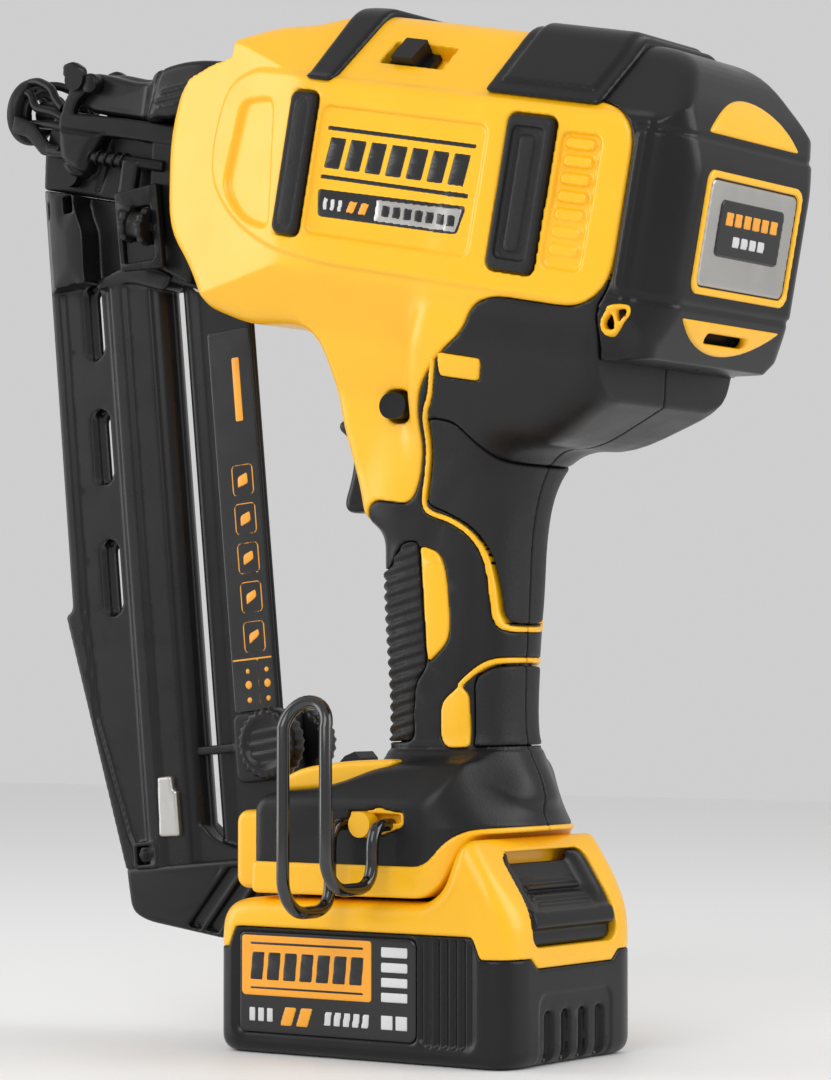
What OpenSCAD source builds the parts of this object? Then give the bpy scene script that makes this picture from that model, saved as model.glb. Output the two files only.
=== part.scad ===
// Cordless angled finish nailer with a slide-on battery, as separate solids.
// Millimetres, +Z up. The origin is the centre of the battery's flat base.
// The tool fires towards -X, and its left side faces -Y.

/* [Layout] */
// Height of the drive axis above the base, over the origin
drive_z = 282; // [280:0.5:284]
// Nose-up angle of the drive axis
drive_tilt = 11; // [10.5:0.25:11.5]
// Distance of the magazine's datum in front of the origin
mag_x = 100; // [99.5:0.25:101]
// Height of the magazine's datum
mag_z = 160; // [159:0.25:161]
// Lean of the magazine, its top end forward
mag_lean = 5.5; // [5:0.25:6]

/* [Housing] */
// Half width of the motor housing
body_half = 44; // [43:0.5:45]
// Wall of the moulded casings
wall = 3; // [2.5:0.1:3.2]
// Thickness of the rubber over-moulding
skin = 2.2; // [1.5:0.1:2.4]
// How far the side bumpers stand out of the housing
bumper_proud = 2; // [1:0.25:3]
// Depth of the handle, front to back
handle_depth = 49.6; // [48:0.2:51]
// Width of the handle
handle_width = 34; // [33:0.5:35]

/* [Battery] */
// Length of the battery, front to back
battery_l = 117; // [115:0.5:119]
// Width of the battery
battery_w = 75; // [73:0.5:77]
// Height of the seam between the battery's two shells
battery_seam = 33; // [32:0.5:34]
// Height of the battery's flat top
battery_top = 46; // [45.5:0.1:46.1]
// Diameter of one cell
cell_d = 18.3; // [18:0.1:18.5]
// Length of one cell
cell_l = 65; // [64:0.5:66]

/* [Drive] */
// Outside radius of the flywheel
flywheel_r = 31.5; // [30:0.5:31.5]
// Diameter of the motor shaft
shaft_d = 8; // [6:0.5:10]
// Diameter of the driver's guide rails
rail_d = 6; // [5:0.25:6.5]
// Width and height of the driver blade
blade_t = 3.2; // [2.8:0.1:3.4]
// Radius of the pinch roller
roller_r = 7; // [5:0.5:7]
// Radial running clearance of shafts and sliding rods
fit = 0.05; // [0.02:0.01:0.1]

/* [Nose and magazine] */
// Outside diameter of the no-mar ring
pad_d = 23; // [21:0.5:24]
// Hole of the no-mar ring
pad_bore = 11; // [10.6:0.1:12]
// Diameter of the door's hinge pin
door_pin_d = 5; // [4:0.25:6]
// Diameter of the contact trip's rods
trip_rod_d = 3; // [2.5:0.1:3.4]
// Diameter of one nail
nail_d = 1.6; // [1.4:0.1:1.6]
// Length of one nail
nail_length = 32; // [30:1:46]
// Number of nails in the short strip that is loaded
nail_count = 14; // [6:1:16]
// Width of the nail channel
channel_w = 1.9; // [1.8:0.05:2.2]
// Diameter of the belt hook's wire
hook_d = 4; // [3.5:0.25:4.5]

/* [Hidden] */
$fn = 48;

yellow = [0.98, 0.70, 0.05];
rubber = [0.10, 0.10, 0.11];
plastic = [0.13, 0.13, 0.14];
steel = [0.62, 0.63, 0.65];
dark_steel = [0.22, 0.22, 0.23];
silver = [0.78, 0.78, 0.80];
copper = [0.75, 0.42, 0.20];
board_green = [0.05, 0.30, 0.16];
lens_white = [0.90, 0.92, 0.95];
cell_blue = [0.25, 0.45, 0.55];

gap = 0.3;
far = 400;

// Outlines in the tool frame: u runs rearward along the drive axis, w is up.
// The yellow casing seen from the side, anticlockwise.
upper_side = [
    [-5, -76], [-2, -86], [13, -114], [28, -111], [30, -86], [39, -63], [51, -46], [55, -36],
    [105, -36], [105, 43], [-19, 44], [-34, 38], [-46, 37], [-61, 30], [-82, 19.5], [-86, -2],
    [-79, -33], [-65, -44], [-55, -56], [-40, -59], [-12, -56]
];
// The motor bulge, which reaches up into the casing above it.
belly_side = [
    [24, -100], [46, -113], [59, -85], [81, -80], [105, -61], [105, -6], [40, -6], [28, -60]
];
// Sections across the tool, y against w.
upper_section = mirrored([
    [17, -118], [20, -96], [23, -76], [30, -56], [body_half, -36], [body_half, 19], [20, 44.2]
]);
belly_section = mirrored([
    [17, -118], [20, -90], [29, -80], [37, -56], [body_half, -36], [body_half, 0]
]);
// The casing seen from above, u against y.
body_plan = [
    [-88, -26], [-50, -36], [-24, -body_half], [106, -body_half],
    [106, body_half], [-24, body_half], [-50, 36], [-88, 26]
];
// The yellow casing's side, run past its flat rear face.
upper_region = [for (p = upper_side) p[0] == 105 ? [p[0] + 2, p[1]] : p];
function cap_side(front) = [
    [front, -61], [111, -60], [117, -47], [122, -34], [122, 9], [117, 27], [108, 40], [front, 43]
];
cap_plan = [[104, -body_half], [116, -body_half], [123, -34], [123, 34], [116, body_half], [104, body_half]];

// Outlines in the part frame, x against z.
handle_side = [
    [-9, 167], [-9, 142], [-7.2, 111], [-7.2, 101], [-10, 94], [-14, 88], [-14, 78], [45, 78],
    [44, 86], [38.6, 96], [37.8, 111], [39.8, 142], [40.5, 160], [40.5, 205], [12, 205], [-4, 185]
];
handle_x = 15.3;
foot_side = [
    [-42, 46.2], [27, 46.2], [44, 70], [46, 72.6], [56, 73.35], [59.5, 77.2], [41, 90],
    [-14, 90], [-42, 81]
];
foot_half = 35;
foot_skin_side = [
    [-41, 58], [30, 58], [38, 62.5], [46.5, 72.8], [60, 73.7], [62.5, 76], [50, 86.5], [42, 92.2],
    [-12, 92.2], [-41, 83]
];
hump_side = [[27.5, battery_top], [58.5, battery_top], [58.5, 64], [53, 72], [46.4, 72], [44.5, 70]];

motor_u = 64;
motor_w = -42;
driver_bottom = motor_w + flywheel_r + gap;
channel_half = blade_t / 2 + 0.3;
trigger_x = -6;
trigger_z = 196;
lock_x = 6;
lock_z = 203;
door_u = -139.6;
door_w = 12.5;
rod_y = 12.5;
rod_w = -12.5;
rail_y = 15;
rail_w = 4;
arm_u = 88;
arm_w = 16;
roller_w = 2 + 2 + roller_r;
tower = [-34, 26];
tower_half = 23;
tower_top = 56.5;
blade_ys = [-16, -6, 6, 16];
bolt_us = [-138, -98];
knob_p = 38.8;
knob_q = -66.7;
pusher_top = -12;
nail_lean = drive_tilt + mag_lean;
screw_places = [[-60, -31], [12, -52], [99, 33]];
low_screw_places = [[15, 128], [15, 98]];

// ---- functions ----
function mirrored(half) = concat(half, [for (i = [len(half) - 1:-1:0]) [-half[i][0], half[i][1]]]);
function unit(v) = v / norm(v);
function inward(a, b) = let (d = unit(b - a)) [-d[1], d[0]];
function corner(a, b, c, d) = let (n = inward(a, b), m = inward(b, c)) b + (n + m) * d / (1 + n * m);
// An anticlockwise outline moved inwards by d.
function inset(pts, d) = [
    for (i = [0:len(pts) - 1])
        corner(pts[(i + len(pts) - 1) % len(pts)], pts[i], pts[(i + 1) % len(pts)], d)
];

// ---- placing and extruding ----
module in_tool() translate([0, 0, drive_z]) rotate([0, drive_tilt, 0]) children();
module in_magazine() translate([-mag_x, 0, mag_z]) rotate([0, -mag_lean, 0]) children();
// An x-z outline made into a slab from y0 to y1.
module slab(y0, y1) translate([0, y1, 0]) rotate([90, 0, 0]) linear_extrude(y1 - y0) children();
// A y-z outline made into a bar from x0 to x1.
module bar(x0, x1) translate([x0, 0, 0]) rotate([90, 0, 90]) linear_extrude(x1 - x0) children();
module block(x, y, z) translate([x[0], y[0], z[0]]) cube([x[1] - x[0], y[1] - y[0], z[1] - z[0]]);
module pin_y(x, z, d, y) translate([x, y[1], z]) rotate([90, 0, 0]) cylinder(d = d, h = y[1] - y[0]);
module rod_x(x, y, z, d) translate([x[0], y, z]) rotate([0, 90, 0]) cylinder(d = d, h = x[1] - x[0]);
module both_sides() {
    children();
    mirror([0, 1, 0]) children();
}
module left_half() intersection() {
    children();
    block([-far, far], [-100, 0], [-10, far]);
}
module right_half() intersection() {
    children();
    block([-far, far], [0, 100], [-10, far]);
}
module slot_shape(length, width) {
    square([length - width, width], center = true);
    for (x = [-1, 1]) translate([x * (length - width) / 2, 0]) circle(d = width);
}
// A helical spring along +X from the origin, as one closed swept tube.
module coil_spring(length, r, wire, turns) {
    steps = 10;
    sides = 6;
    rings = turns * steps;
    points = [
        for (i = [0:rings], j = [0:sides - 1])
            let (a = 360 * i / steps, b = 360 * j / sides, q = r + wire / 2 * cos(b))
            [wire / 2 + (length - wire) * i / rings + wire / 2 * sin(b), q * cos(a), q * sin(a)]
    ];
    sides_list = [
        for (i = [0:rings - 1], j = [0:sides - 1])
            let (a = i * sides + j, b = i * sides + (j + 1) % sides) [a, a + sides, b + sides, b]
    ];
    first = [for (j = [0:sides - 1]) j];
    last = [for (j = [sides - 1:-1:0]) rings * sides + j];
    polyhedron(points, concat([first, last], sides_list), convexity = 10);
}

// A rectangle a by b in half sizes, with its corners rounded to r.
function rounded_plan(a, b, r) = [
    for (k = [0:3], i = [0:3])
        let (s = k == 0 || k == 3 ? 1 : -1, t = k < 2 ? 1 : -1, q = 90 * k + 30 * i)
        [s * (a - r) + r * cos(q), t * (b - r) + r * sin(q)]
];

// ---- casing volumes, inset by d ----
module upper_volume(d) in_tool() intersection() {
    slab(-60, 60) polygon(inset(upper_side, d));
    bar(-130, 140) polygon(inset(upper_section, d));
    translate([0, 0, -130]) linear_extrude(200) polygon(inset(body_plan, d));
}
module belly_volume(d) in_tool() intersection() {
    slab(-60, 60) polygon(inset(belly_side, d));
    bar(0, 120) polygon(inset(belly_section, d));
}
module handle_volume(d) intersection() {
    slab(-60, 60) polygon(inset(handle_side, d));
    translate([handle_x, 0, 70]) linear_extrude(150)
        polygon(rounded_plan(handle_depth / 2 - d, handle_width / 2 - d, 13.5 - d));
}
module foot_volume(d) slab(-foot_half + d, foot_half - d) polygon(inset(foot_side, d));
// Front lug of the foot, which holds the magazine's lower bracket.
module foot_lug(d) block([-45 + d, -36], [-14 + d, 14 - d], [49 + d, 78 - d]);
module upper_screws(d, y) in_tool() for (p = screw_places) pin_y(p[0], p[1], d, y);
module grip_screws(d, y) for (p = low_screw_places) pin_y(p[0], p[1], d, y);
module trigger_slot() slab(-7.4, 7.4)
    polygon([[-34, 207], [3, 207], [3, 180], [-3, 169], [-6, 150], [-34, 150]]);
module lock_hole(extra) translate([lock_x, 0, lock_z]) rotate([90, 0, 0])
    linear_extrude(80, center = true) slot_shape(10 + 2 * extra, 8 + 2 * extra);
module lens_block(front) block([front, -40], [-27, -21], [67, 73]);
module battery_channel() block([-37, 72], [-24.5, 24.5], [40, 57.2]);
module side_pockets() {
    block([-22.5, -12.5], [-60, -body_half + 1.5], [-29, 16]);
    block([60, 77], [-60, -body_half + 1.5], [-30, 17]);
}
module upper_cuts() {
    in_tool() {
        block([-100, -60], [-9.4, 9.4], [-26.4, 10.4]);
        block([-100, -76], [-23, 23], [2, 32]);
        both_sides() side_pockets();
        both_sides() block([79, 99], [-body_half - 5, -body_half + 1.5], [-29, 14]);
    }
    in_magazine() block([12, 43.2], [-7.2, 7.2], [60, 97]);
    trigger_slot();
    lock_hole(fit);
    upper_screws(4.2, [-30, 60]);
    upper_screws(8, [13, 60]);
}
// The yellow casing is open below, where the grip joins it.
module upper_casing() difference() {
    children();
    difference() {
        upper_volume(wall);
        upper_screws(9, [-60, 60]);
    }
    belly_volume(skin + wall);
    handle_volume(skin + wall);
    upper_cuts();
}
module foot_skin() slab(-foot_half - skin, foot_half + skin) polygon(foot_skin_side);
module grip_outside() {
    belly_volume(0);
    handle_volume(0);
    foot_skin();
}
// The motor bulge, the handle and the rubber over the foot.
module grip_casing() difference() {
    children();
    belly_volume(skin + wall);
    difference() {
        handle_volume(skin + wall);
        grip_screws(9, [-60, 60]);
    }
    difference() {
        foot_volume(0);
        handle_volume(0);
    }
    in_tool() slab(-60, 60) polygon(upper_region);
    block([-48, -11], [-24, 24], [76, 99]);
    block([-10, 16], [-60, -foot_half], [69, 77]);
    trigger_slot();
    grip_screws(4.2, [-30, 60]);
    grip_screws(8, [13, 60]);
}

// ---- casings and trim ----
module on_slope() in_tool() translate([14, -31.5, 32]) rotate([45, 0, 0]) children();
module stall_window() on_slope() block([-12, 12], [-5, 5], [-9, 9]);
module housing_left() color(yellow) difference() {
    upper_casing() left_half() upper_volume(0);
    stall_window();
}
module housing_right() color(yellow) upper_casing() right_half() upper_volume(0);
module grip_left() color(rubber) grip_casing() left_half() grip_outside();
module grip_right() color(rubber) grip_casing() right_half() grip_outside();
module foot_base() color(yellow) difference() {
    union() {
        foot_volume(0);
        foot_lug(0);
    }
    foot_volume(wall);
    handle_volume(0);
    battery_channel();
    both_sides() lens_block(-50);
}

module cap_volume(d, front) in_tool() intersection() {
    slab(-60, 60) polygon(inset(cap_side(front), d));
    bar(80, 140) polygon(inset(mirrored([[28, -61.5], [36, -56], [44, -36], [44, 19], [20, 44.2]]), d));
    translate([0, 0, -70]) linear_extrude(140) polygon(inset(cap_plan, d));
}
module rear_cap() color(plastic) difference() {
    cap_volume(0, 105);
    cap_volume(wall, 100);
    in_tool() {
        both_sides() for (w = [-43, -38]) block([107, 112], [36, 50], [w - 1.4, w + 1.4]);
        both_sides() block([110, 125], [4, 24], [-44, -41]);
    }
}
module cap_trim() color(yellow) in_tool() {
    translate([112.5, 0, 33.5]) rotate([0, 55.3, 0]) block([-5, 5], [-15, 15], [0.02, 1.4]);
    translate([119.5, 0, -40.5]) rotate([0, 111, 0]) translate([0, 0, 0.02]) difference() {
        block([-4.5, 4.5], [-27, 27], [0, 1.4]);
        both_sides() block([-2, 2], [3.5, 24.5], [-1, 3]);
    }
    difference() {
        block([122, 123.6], [-28.5, 28.5], [-31, 8]);
        block([121, 125], [-25.5, 25.5], [-28, 5]);
    }
}
module rear_badge() color(silver) in_tool() block([122, 122.8], [-25.4, 25.4], [-27.9, 4.9]);

// A pad that wraps over the top of the casing between u0 and u1.
module top_wrap(u0, u1, low_w, thick) in_tool() difference() {
    intersection() {
        bar(u0, u1) polygon(inset(upper_section, -thick));
        slab(-60, 60) polygon([[u0 - 9, low_w], [u1 + 9, low_w], [u1 + 9, 60], [u0 - 9, 60]]);
    }
    bar(u0 - 1, u1 + 1) polygon(upper_section);
}
module top_bumpers() color(rubber) {
    top_wrap(48, 86, 22, 3.4);
    top_wrap(-18, -8, 20, 2.2);
}
module side_bumpers() color(rubber) in_tool() both_sides() {
    block([-22.5, -12.5], [-body_half - bumper_proud, -body_half + 1.5], [-29, 16]);
    difference() {
        block([60, 77], [-body_half - bumper_proud, -body_half + 1.5], [-30, 17]);
        block([64, 71], [-body_half - 5, -body_half], [-24, 11]);
    }
}
module housing_screws() color(dark_steel) {
    upper_screws(4, [-12, 14]);
    upper_screws(7, [13, 16.5]);
    grip_screws(4, [-12, 14]);
    grip_screws(7, [13, 16.5]);
}

// ---- trigger group ----
module trigger() color(plastic) difference() {
    union() {
        slab(-7, 7) polygon([
            [-2, 200], [-6, 201.5], [-18, 201], [-25, 196], [-25.5, 188], [-22.5, 181], [-22.5, 174],
            [-20, 168], [-17, 169], [-15.5, 178], [-12, 186], [-1, 190]
        ]);
        pin_y(trigger_x, trigger_z, 10, [-7, 7]);
    }
    pin_y(trigger_x, trigger_z, 4 + 2 * fit, [-20, 20]);
    rod_x([-14, 10], 0, 189.5, 6);
}
module trigger_pin() color(steel) pin_y(trigger_x, trigger_z, 4, [-7.4, 7.4]);
module trigger_spring() color(steel) translate([-13.8, 0, 189.5]) coil_spring(16, 2.2, 0.7, 6);
module trigger_switch() color(plastic) {
    block([3.1, 28], [-7.3, 7.3], [172, 195]);
    block([0.6, 3.1], [-3, 3], [178, 184]);
}
module lock_off_button() color(plastic) translate([lock_x, 0, lock_z]) rotate([90, 0, 0])
    linear_extrude(53, center = true) slot_shape(10, 8);
module stall_lever() color(plastic) on_slope() {
    block([-7, 1], [-4.8, 4.8], [-3, 2.5]);
    block([-11.5, 4], [-4.8, 4.8], [-5, -3]);
}

// ---- nose ----
module nosepiece() color(dark_steel) difference() {
    in_tool() {
        slab(-9, 9) polygon([
            [-150, -7], [-147, -7], [-147, -26], [-64.2, -26], [-64.2, 10], [-86, 10], [-86, 2],
            [-150, 2]
        ]);
        rod_x([-164, -149], 0, 0, 9.4);
        both_sides() {
            slab(-13, -10.3) polygon([
                [-151, -6], [-133, -6], [-133, 6], [-134, 16], [-138, 18], [-141, 17], [-148, 19.5],
                [-150, 14], [-145.5, 12], [-146, 2], [-151, 0]
            ]);
            block([-151, -133], [-13, -8], [-6, -1]);
            block([-110, -107], [-16, -8], [-17, -8]);
        }
    }
    in_tool() block([-175, -60], [-channel_half, channel_half], [-channel_half, channel_half]);
    intersection() {
        in_tool() block([-170, -60], [-5, 5], [-30, 0]);
        in_magazine() block([-31.4, 15.6], [-channel_w / 2, channel_w / 2], [90, 180]);
    }
    in_tool() {
        both_sides() rod_x([-120, -100], rod_y, rod_w, trip_rod_d + 2 * fit);
        pin_y(door_u, door_w, door_pin_d, [-20, 20]);
        for (u = bolt_us) both_sides() pin_y(u, -20, 4, [-20, -2.5]);
    }
}
module door_pin() color(steel) in_tool() {
    pin_y(door_u, door_w, door_pin_d, [-13, 13]);
    both_sides() pin_y(door_u, door_w, 8, [-15, -13]);
}
// The jam-clearing door, a saddle over the driver channel with a ribbed finger pad.
module jam_door() color(plastic) in_tool() difference() {
    union() {
        slab(-10, 10) polygon([
            [-145, 8], [-143, 5], [-139.6, 2.2], [-91, 2.2], [-89, 10], [-92, 21], [-104, 22],
            [-126, 15.5], [-136, 18.5], [-143, 17]
        ]);
        slab(-22, 22) polygon([[-107, 4], [-90.5, 4], [-89, 10], [-92, 20], [-107, 17]]);
    }
    pin_y(door_u, door_w, door_pin_d + 2 * fit, [-20, 20]);
    both_sides() for (i = [0:4]) block([-106 + 3 * i, -104.6 + 3 * i], [-23, -21.3], [7, 15]);
}
module nose_bolts() color(steel) in_tool() for (u = bolt_us) both_sides() {
    pin_y(u, -20, 4, [-9, -2.5]);
    pin_y(u, -20, 7.5, [-12, -9]);
}
module contact_trip() color(dark_steel) in_tool() {
    difference() {
        union() {
            rod_x([-167, -164.5], 0, 0, 20);
            block([-167, -164.5], [-14, 14], [-14.5, -6]);
        }
        rod_x([-175, -150], 0, 0, pad_bore);
    }
    both_sides() {
        block([-167, -152], [-14, -11], [-14.5, -10.5]);
        rod_x([-152.5, -97], rod_y, rod_w, trip_rod_d);
        rod_x([-145, -143], rod_y, rod_w, 5.6);
    }
    block([-106.5, -97], [-16.5, -11], [-15, -10]);
    difference() {
        block([-122, -97], [-16.5, -14.5], [-45, -10]);
        block([-117, -101], [-20, -10], [-42, -24]);
        block([-124, -106.5], [-20, -10], [-21, 0]);
    }
}
module no_mar_pad() color(rubber) in_tool() translate([-172, 0, 0]) rotate([0, 90, 0]) difference() {
    union() {
        translate([0, 0, 1]) cylinder(d = pad_d, h = 3);
        cylinder(d1 = pad_d - 3, d2 = pad_d, h = 1);
        translate([0, 0, 4]) cylinder(d1 = pad_d, d2 = pad_d - 2, h = 1);
    }
    translate([0, 0, -1]) cylinder(d = pad_bore, h = 8);
}
module trip_springs() color(steel) in_tool() both_sides()
    translate([-142.9, rod_y, rod_w]) coil_spring(32.8, 2.5, 0.7, 9);
module depth_wheel() color(plastic)
    in_tool() translate([-114, -15.5, -33]) rotate([0, 90, 0]) difference() {
    union() {
        cylinder(d = 13, h = 2.5);
        cylinder(d = 9, h = 10);
        translate([0, 0, 7.5]) cylinder(d = 13, h = 2.5);
    }
    translate([0, 0, -1]) cylinder(d = 4 + 2 * fit, h = 12);
    for (i = [0:11]) rotate([0, 0, 30 * i]) translate([6.8, 0, -1]) cylinder(d = 1.8, h = 12);
}
module depth_screw() color(steel) in_tool() rod_x([-117, -101], -15.5, -33, 4);

// ---- magazine ----
module above_magazine() in_tool() block([-200, 50], [-50, 50], [-26, 100]);
module magazine_half() difference() {
    in_magazine() {
        slab(-5, 0) polygon([
            [-40.5, 140], [-43, 131], [-43.6, -15.5], [-46.5, -17], [-27, -104], [-11, -104], [-11, 132]
        ]);
        block([-12, 15], [-11.5, 0], [-104, 102]);
        block([-12, 16], [-6, 0], [102, 150]);
        block([14, 28], [-6, 0], [84, 96]);
        block([27, 43], [-7, 0], [-104, 92]);
        block([-25, 43], [-11.5, 0], [-106, -104]);
        for (i = [0:5]) block([-12 + 5 * i, -10.6 + 5 * i], [-12.3, -11], [-104, 102]);
    }
    above_magazine();
    in_magazine() {
        block([-31.4, 15.6], [-channel_w / 2, 10], [-104.2, 180]);
        for (q = [81.6, 38.8, -5.7]) translate([-26.3, 0, q]) rotate([90, 90, 0])
            linear_extrude(40, center = true) slot_shape(27.5, 10);
        for (p = [-36.8, -26.5]) block([p - 2, p + 2], [-9, -3], [117, 123]);
        translate([21, 0, 90]) rotate([90, 0, 0]) cylinder(d = 11, h = 7.6, center = true);
    }
}
module magazine_left() color(plastic) magazine_half();
module magazine_right() color(plastic) mirror([0, 1, 0]) magazine_half();
module magazine_base() color(plastic) in_magazine() difference() {
    slab(-13, 13) polygon([
        [-25, -106], [-25, -117], [17, -130], [24, -122], [31, -113.5], [43, -108], [43, -106]
    ]);
    for (p = [-14:9:13]) both_sides() block([p, p + 6], [-14, -3], [-128, -109]);
}
module magazine_bracket() color(plastic) difference() {
    slab(-9, 9) polygon([[-46.6, 53], [-45, 53], [-45, 74], [-52, 74], [-58, 66], [-58, 56]]);
    in_magazine() block([-50, 43], [-50, 50], [-200, 200]);
}
module magazine_screws() color(steel) in_magazine() {
    for (q = [-85, 60]) both_sides() pin_y(1.5, q, 7, [-13.4, -12.3]);
    both_sides() pin_y(1.5, -100, 7, [-13.4, -12.3]);
}
module magazine_label() color(rubber) in_magazine() block([28, 42], [-7.3, -7], [-50, 72]);
module pusher() color(dark_steel) in_magazine() {
    slab(-0.75, 0.75) polygon([
        [-17, -58], [18, -60], [18, -57], [15.2, -57], [15.2, pusher_top],
        [-17, pusher_top + 32.2 * tan(nail_lean)]
    ]);
    difference() {
        block([16.5, 41], [-11, 11], [-76, -58]);
        block([26, 50], [-7.8, 7.8], [-80, -50]);
        block([10, 50], [-channel_w, channel_w], [-59, -50]);
    }
}
module pusher_knobs() color(plastic) in_magazine() both_sides() difference() {
    pin_y(knob_p, knob_q, 20, [-18, -11]);
    for (i = [0:2]) translate([knob_p - 8, -19, knob_q - 5 + 4 * i]) cube([16, 2, 2]);
}
module roll_spring() color(silver) in_magazine() translate([21, 0, 90]) rotate([90, 0, 0]) difference() {
    cylinder(d = 10.8, h = 7.4, center = true);
    cylinder(d = 5, h = 9, center = true);
}
// A short strip of nails, lying parallel to the drive axis.
module nail_strip() color(silver) in_magazine() for (i = [0:nail_count - 1])
    translate([14.6, 0, pusher_top + 0.2 + (nail_d / 2 + i * (nail_d + 0.02)) / cos(nail_lean)])
        rotate([0, nail_lean - 90, 0]) cylinder(d = nail_d, h = nail_length);

// ---- hook, foot and battery ----
module link(a, b) let (v = b - a, l = norm(v))
    translate(a) rotate([0, acos(v[2] / l), atan2(v[1], v[0])]) cylinder(d = hook_d, h = l);
module wire(points) {
    for (i = [0:len(points) - 2]) link(points[i], points[i + 1]);
    for (i = [1:len(points) - 2]) translate(points[i]) sphere(d = hook_d + 0.1);
}
hook_top = [for (a = [0:30:180]) [3 - 8 * cos(a), -68 + 3 * sin(a), 103 + 8 * sin(a)]];
hook_front = [
    [-5, -foot_half, 73], [-5, -41.5, 73], [-5, -44, 70], [-5, -44, 50],
    [-5, -49, 46.5], [-5, -62, 46.5], [-5, -68, 51]
];
hook_rear = [
    [11, -68, 60], [11, -62, 54], [11, -47, 54], [11, -44, 57],
    [11, -44, 70], [11, -41.5, 73], [11, -foot_half, 73]
];
module belt_hook() color(dark_steel) wire(concat(hook_front, hook_top, hook_rear));
module hook_screw() color(steel) pin_y(3, 73, 8, [-40, -foot_half]);
module foot_plate() color(yellow) difference() {
    slab(-23.8, 23.8) polygon([
        [-41.9, 81.04], [-14, 90.01], [-11.2, 90.01], [-11.2, 92.2], [-14, 92.2], [-41.9, 83.2]
    ]);
    block([-34, -20], [-9, 9], [70, 99]);
}
module mode_selector() color(plastic)
    slab(-5, 5) polygon([[-33, 83.91], [-21, 87.77], [-22, 92.5], [-24, 94.5], [-28, 93], [-33, 88]]);
module headlight_lenses() color(lens_white) both_sides() lens_block(-43);
module terminal_block() color(plastic) {
    block([-41.9 + wall + 2.1, -35.2], [-22, 22], [49.5, 60]);
    for (y = blade_ys) block([-35.2, -12], [y - 0.5, y + 0.5], [49.8, 54.8]);
}
module control_board() color(board_green) {
    block([-30, 30], [-28, 28], [62, 63.6]);
    block([-20, -4], [-12, 12], [63.6, 72]);
    for (y = [-20, 0]) block([6, 16], [y, y + 14], [63.6, 76]);
}
module battery_plan(d) {
    square([battery_l - 2 * d, battery_w - 24], center = true);
    square([battery_l - 24, battery_w - 2 * d], center = true);
    for (x = [-1, 1], y = [-1, 1]) translate([x * (battery_l / 2 - 12), y * (battery_w / 2 - 12)]) circle(12 - d);
}
module battery_cavity() translate([0, 0, 2.5]) linear_extrude(battery_top - 5) battery_plan(2.5);
module battery_label_pockets() both_sides() block([-46, 20], [-battery_w / 2 - 1, -battery_w / 2 + 0.7], [6, 32.9]);
module battery_lower() color(plastic) difference() {
    linear_extrude(battery_seam) battery_plan(0);
    battery_cavity();
    battery_label_pockets();
    for (y = [-15:9:12]) block([battery_l / 2 - 2, battery_l / 2 + 2], [y, y + 4], [4, 20]);
    both_sides() for (i = [0:4])
        block([24 + 4 * i, 26 + 4 * i], [-battery_w / 2 - 1, -battery_w / 2 + 0.8], [7, 31]);
}
module battery_upper() color(yellow) difference() {
    union() {
        translate([0, 0, battery_seam]) linear_extrude(battery_top - battery_seam) battery_plan(0);
        intersection() {
            slab(-battery_w / 2, battery_w / 2) polygon(hump_side);
            linear_extrude(100) battery_plan(0);
        }
        block(tower, [-tower_half, tower_half], [battery_top - 1, tower_top]);
    }
    battery_cavity();
    block([47, 70], [-21, 21], [45.5, 66]);
    for (y = blade_ys) block([tower[0] - 1, -8], [y - 1.2, y + 1.2], [48.5, 60]);
}
module battery_cells() color(cell_blue) for (i = [-2:2], z = [12.4, 31.4])
    pin_y(i * 19.4, z, cell_d, [-cell_l / 2, cell_l / 2]);
module battery_latch() color(plastic) difference() {
    slab(-20.7, 20.7) polygon([[51, 45.8], [57.5, 45.8], [58.3, 52], [58.3, 64], [57, 65.7], [51, 65.7]]);
    block([55, 60], [-14, 14], [50, 57]);
}
module battery_labels() color(rubber) both_sides()
    block([-46, 20], [-battery_w / 2 + 0.1, -battery_w / 2 + 0.7], [6, 32.9]);

// ---- drive inside the casing ----
module drive_frame() color(steel) in_tool() difference() {
    union() {
        both_sides() slab(-25, -20) polygon([
            [-64, -16], [26, -16], [36, -60], [88, -60], [94, -20], [94, 21], [-64, 21]
        ]);
        block([-64, -56], [-20, 20], [-14, 18]);
        block([90, 94], [-20, 20], [-16, 8.5]);
    }
    block([-70, -50], [-7, 7], [driver_bottom - 1, 4]);
    for (y = [-rail_y, rail_y]) rod_x([-60, 92], y, rail_w, rail_d);
    pin_y(motor_u, motor_w, 22, [-40, 40]);
    pin_y(arm_u, arm_w, 5, [-40, 40]);
    both_sides() for (u = [-40, 0, 34]) pin_y(u, 2, 14, [-40, -10]);
}
module guide_rails() color(silver) in_tool() for (y = [-rail_y, rail_y])
    rod_x([-60, 92], y, rail_w, rail_d);
module return_springs() color(steel) in_tool() for (y = [-rail_y, rail_y])
    translate([-50.8, y, rail_w]) coil_spring(74.6, 4.1, 0.9, 13);
module drive_stops() color(rubber) in_tool() for (y = [-rail_y, rail_y], u = [-56, 84]) difference() {
    rod_x([u, u + (u < 0 ? 5 : 6)], y, rail_w, 9.4);
    rod_x([u - 1, u + 8], y, rail_w, rail_d);
}
module driver() color(dark_steel) in_tool() difference() {
    union() {
        block([16, 84], [-6, 6], [driver_bottom, 2]);
        block([24, 36], [-19.5, 19.5], [0, 8]);
        block([-90, 17], [-blade_t / 2, blade_t / 2], [-blade_t / 2, blade_t / 2]);
    }
    for (y = [-rail_y, rail_y]) rod_x([20, 40], y, rail_w, rail_d + 2 * fit);
}
module motor_stator() color(copper) in_tool() difference() {
    union() {
        pin_y(motor_u, motor_w, 49, [-8, 7]);
        pin_y(motor_u, motor_w, 26, [-19.9, -8]);
    }
    pin_y(motor_u, motor_w, 18, [-30, 30]);
}
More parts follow.
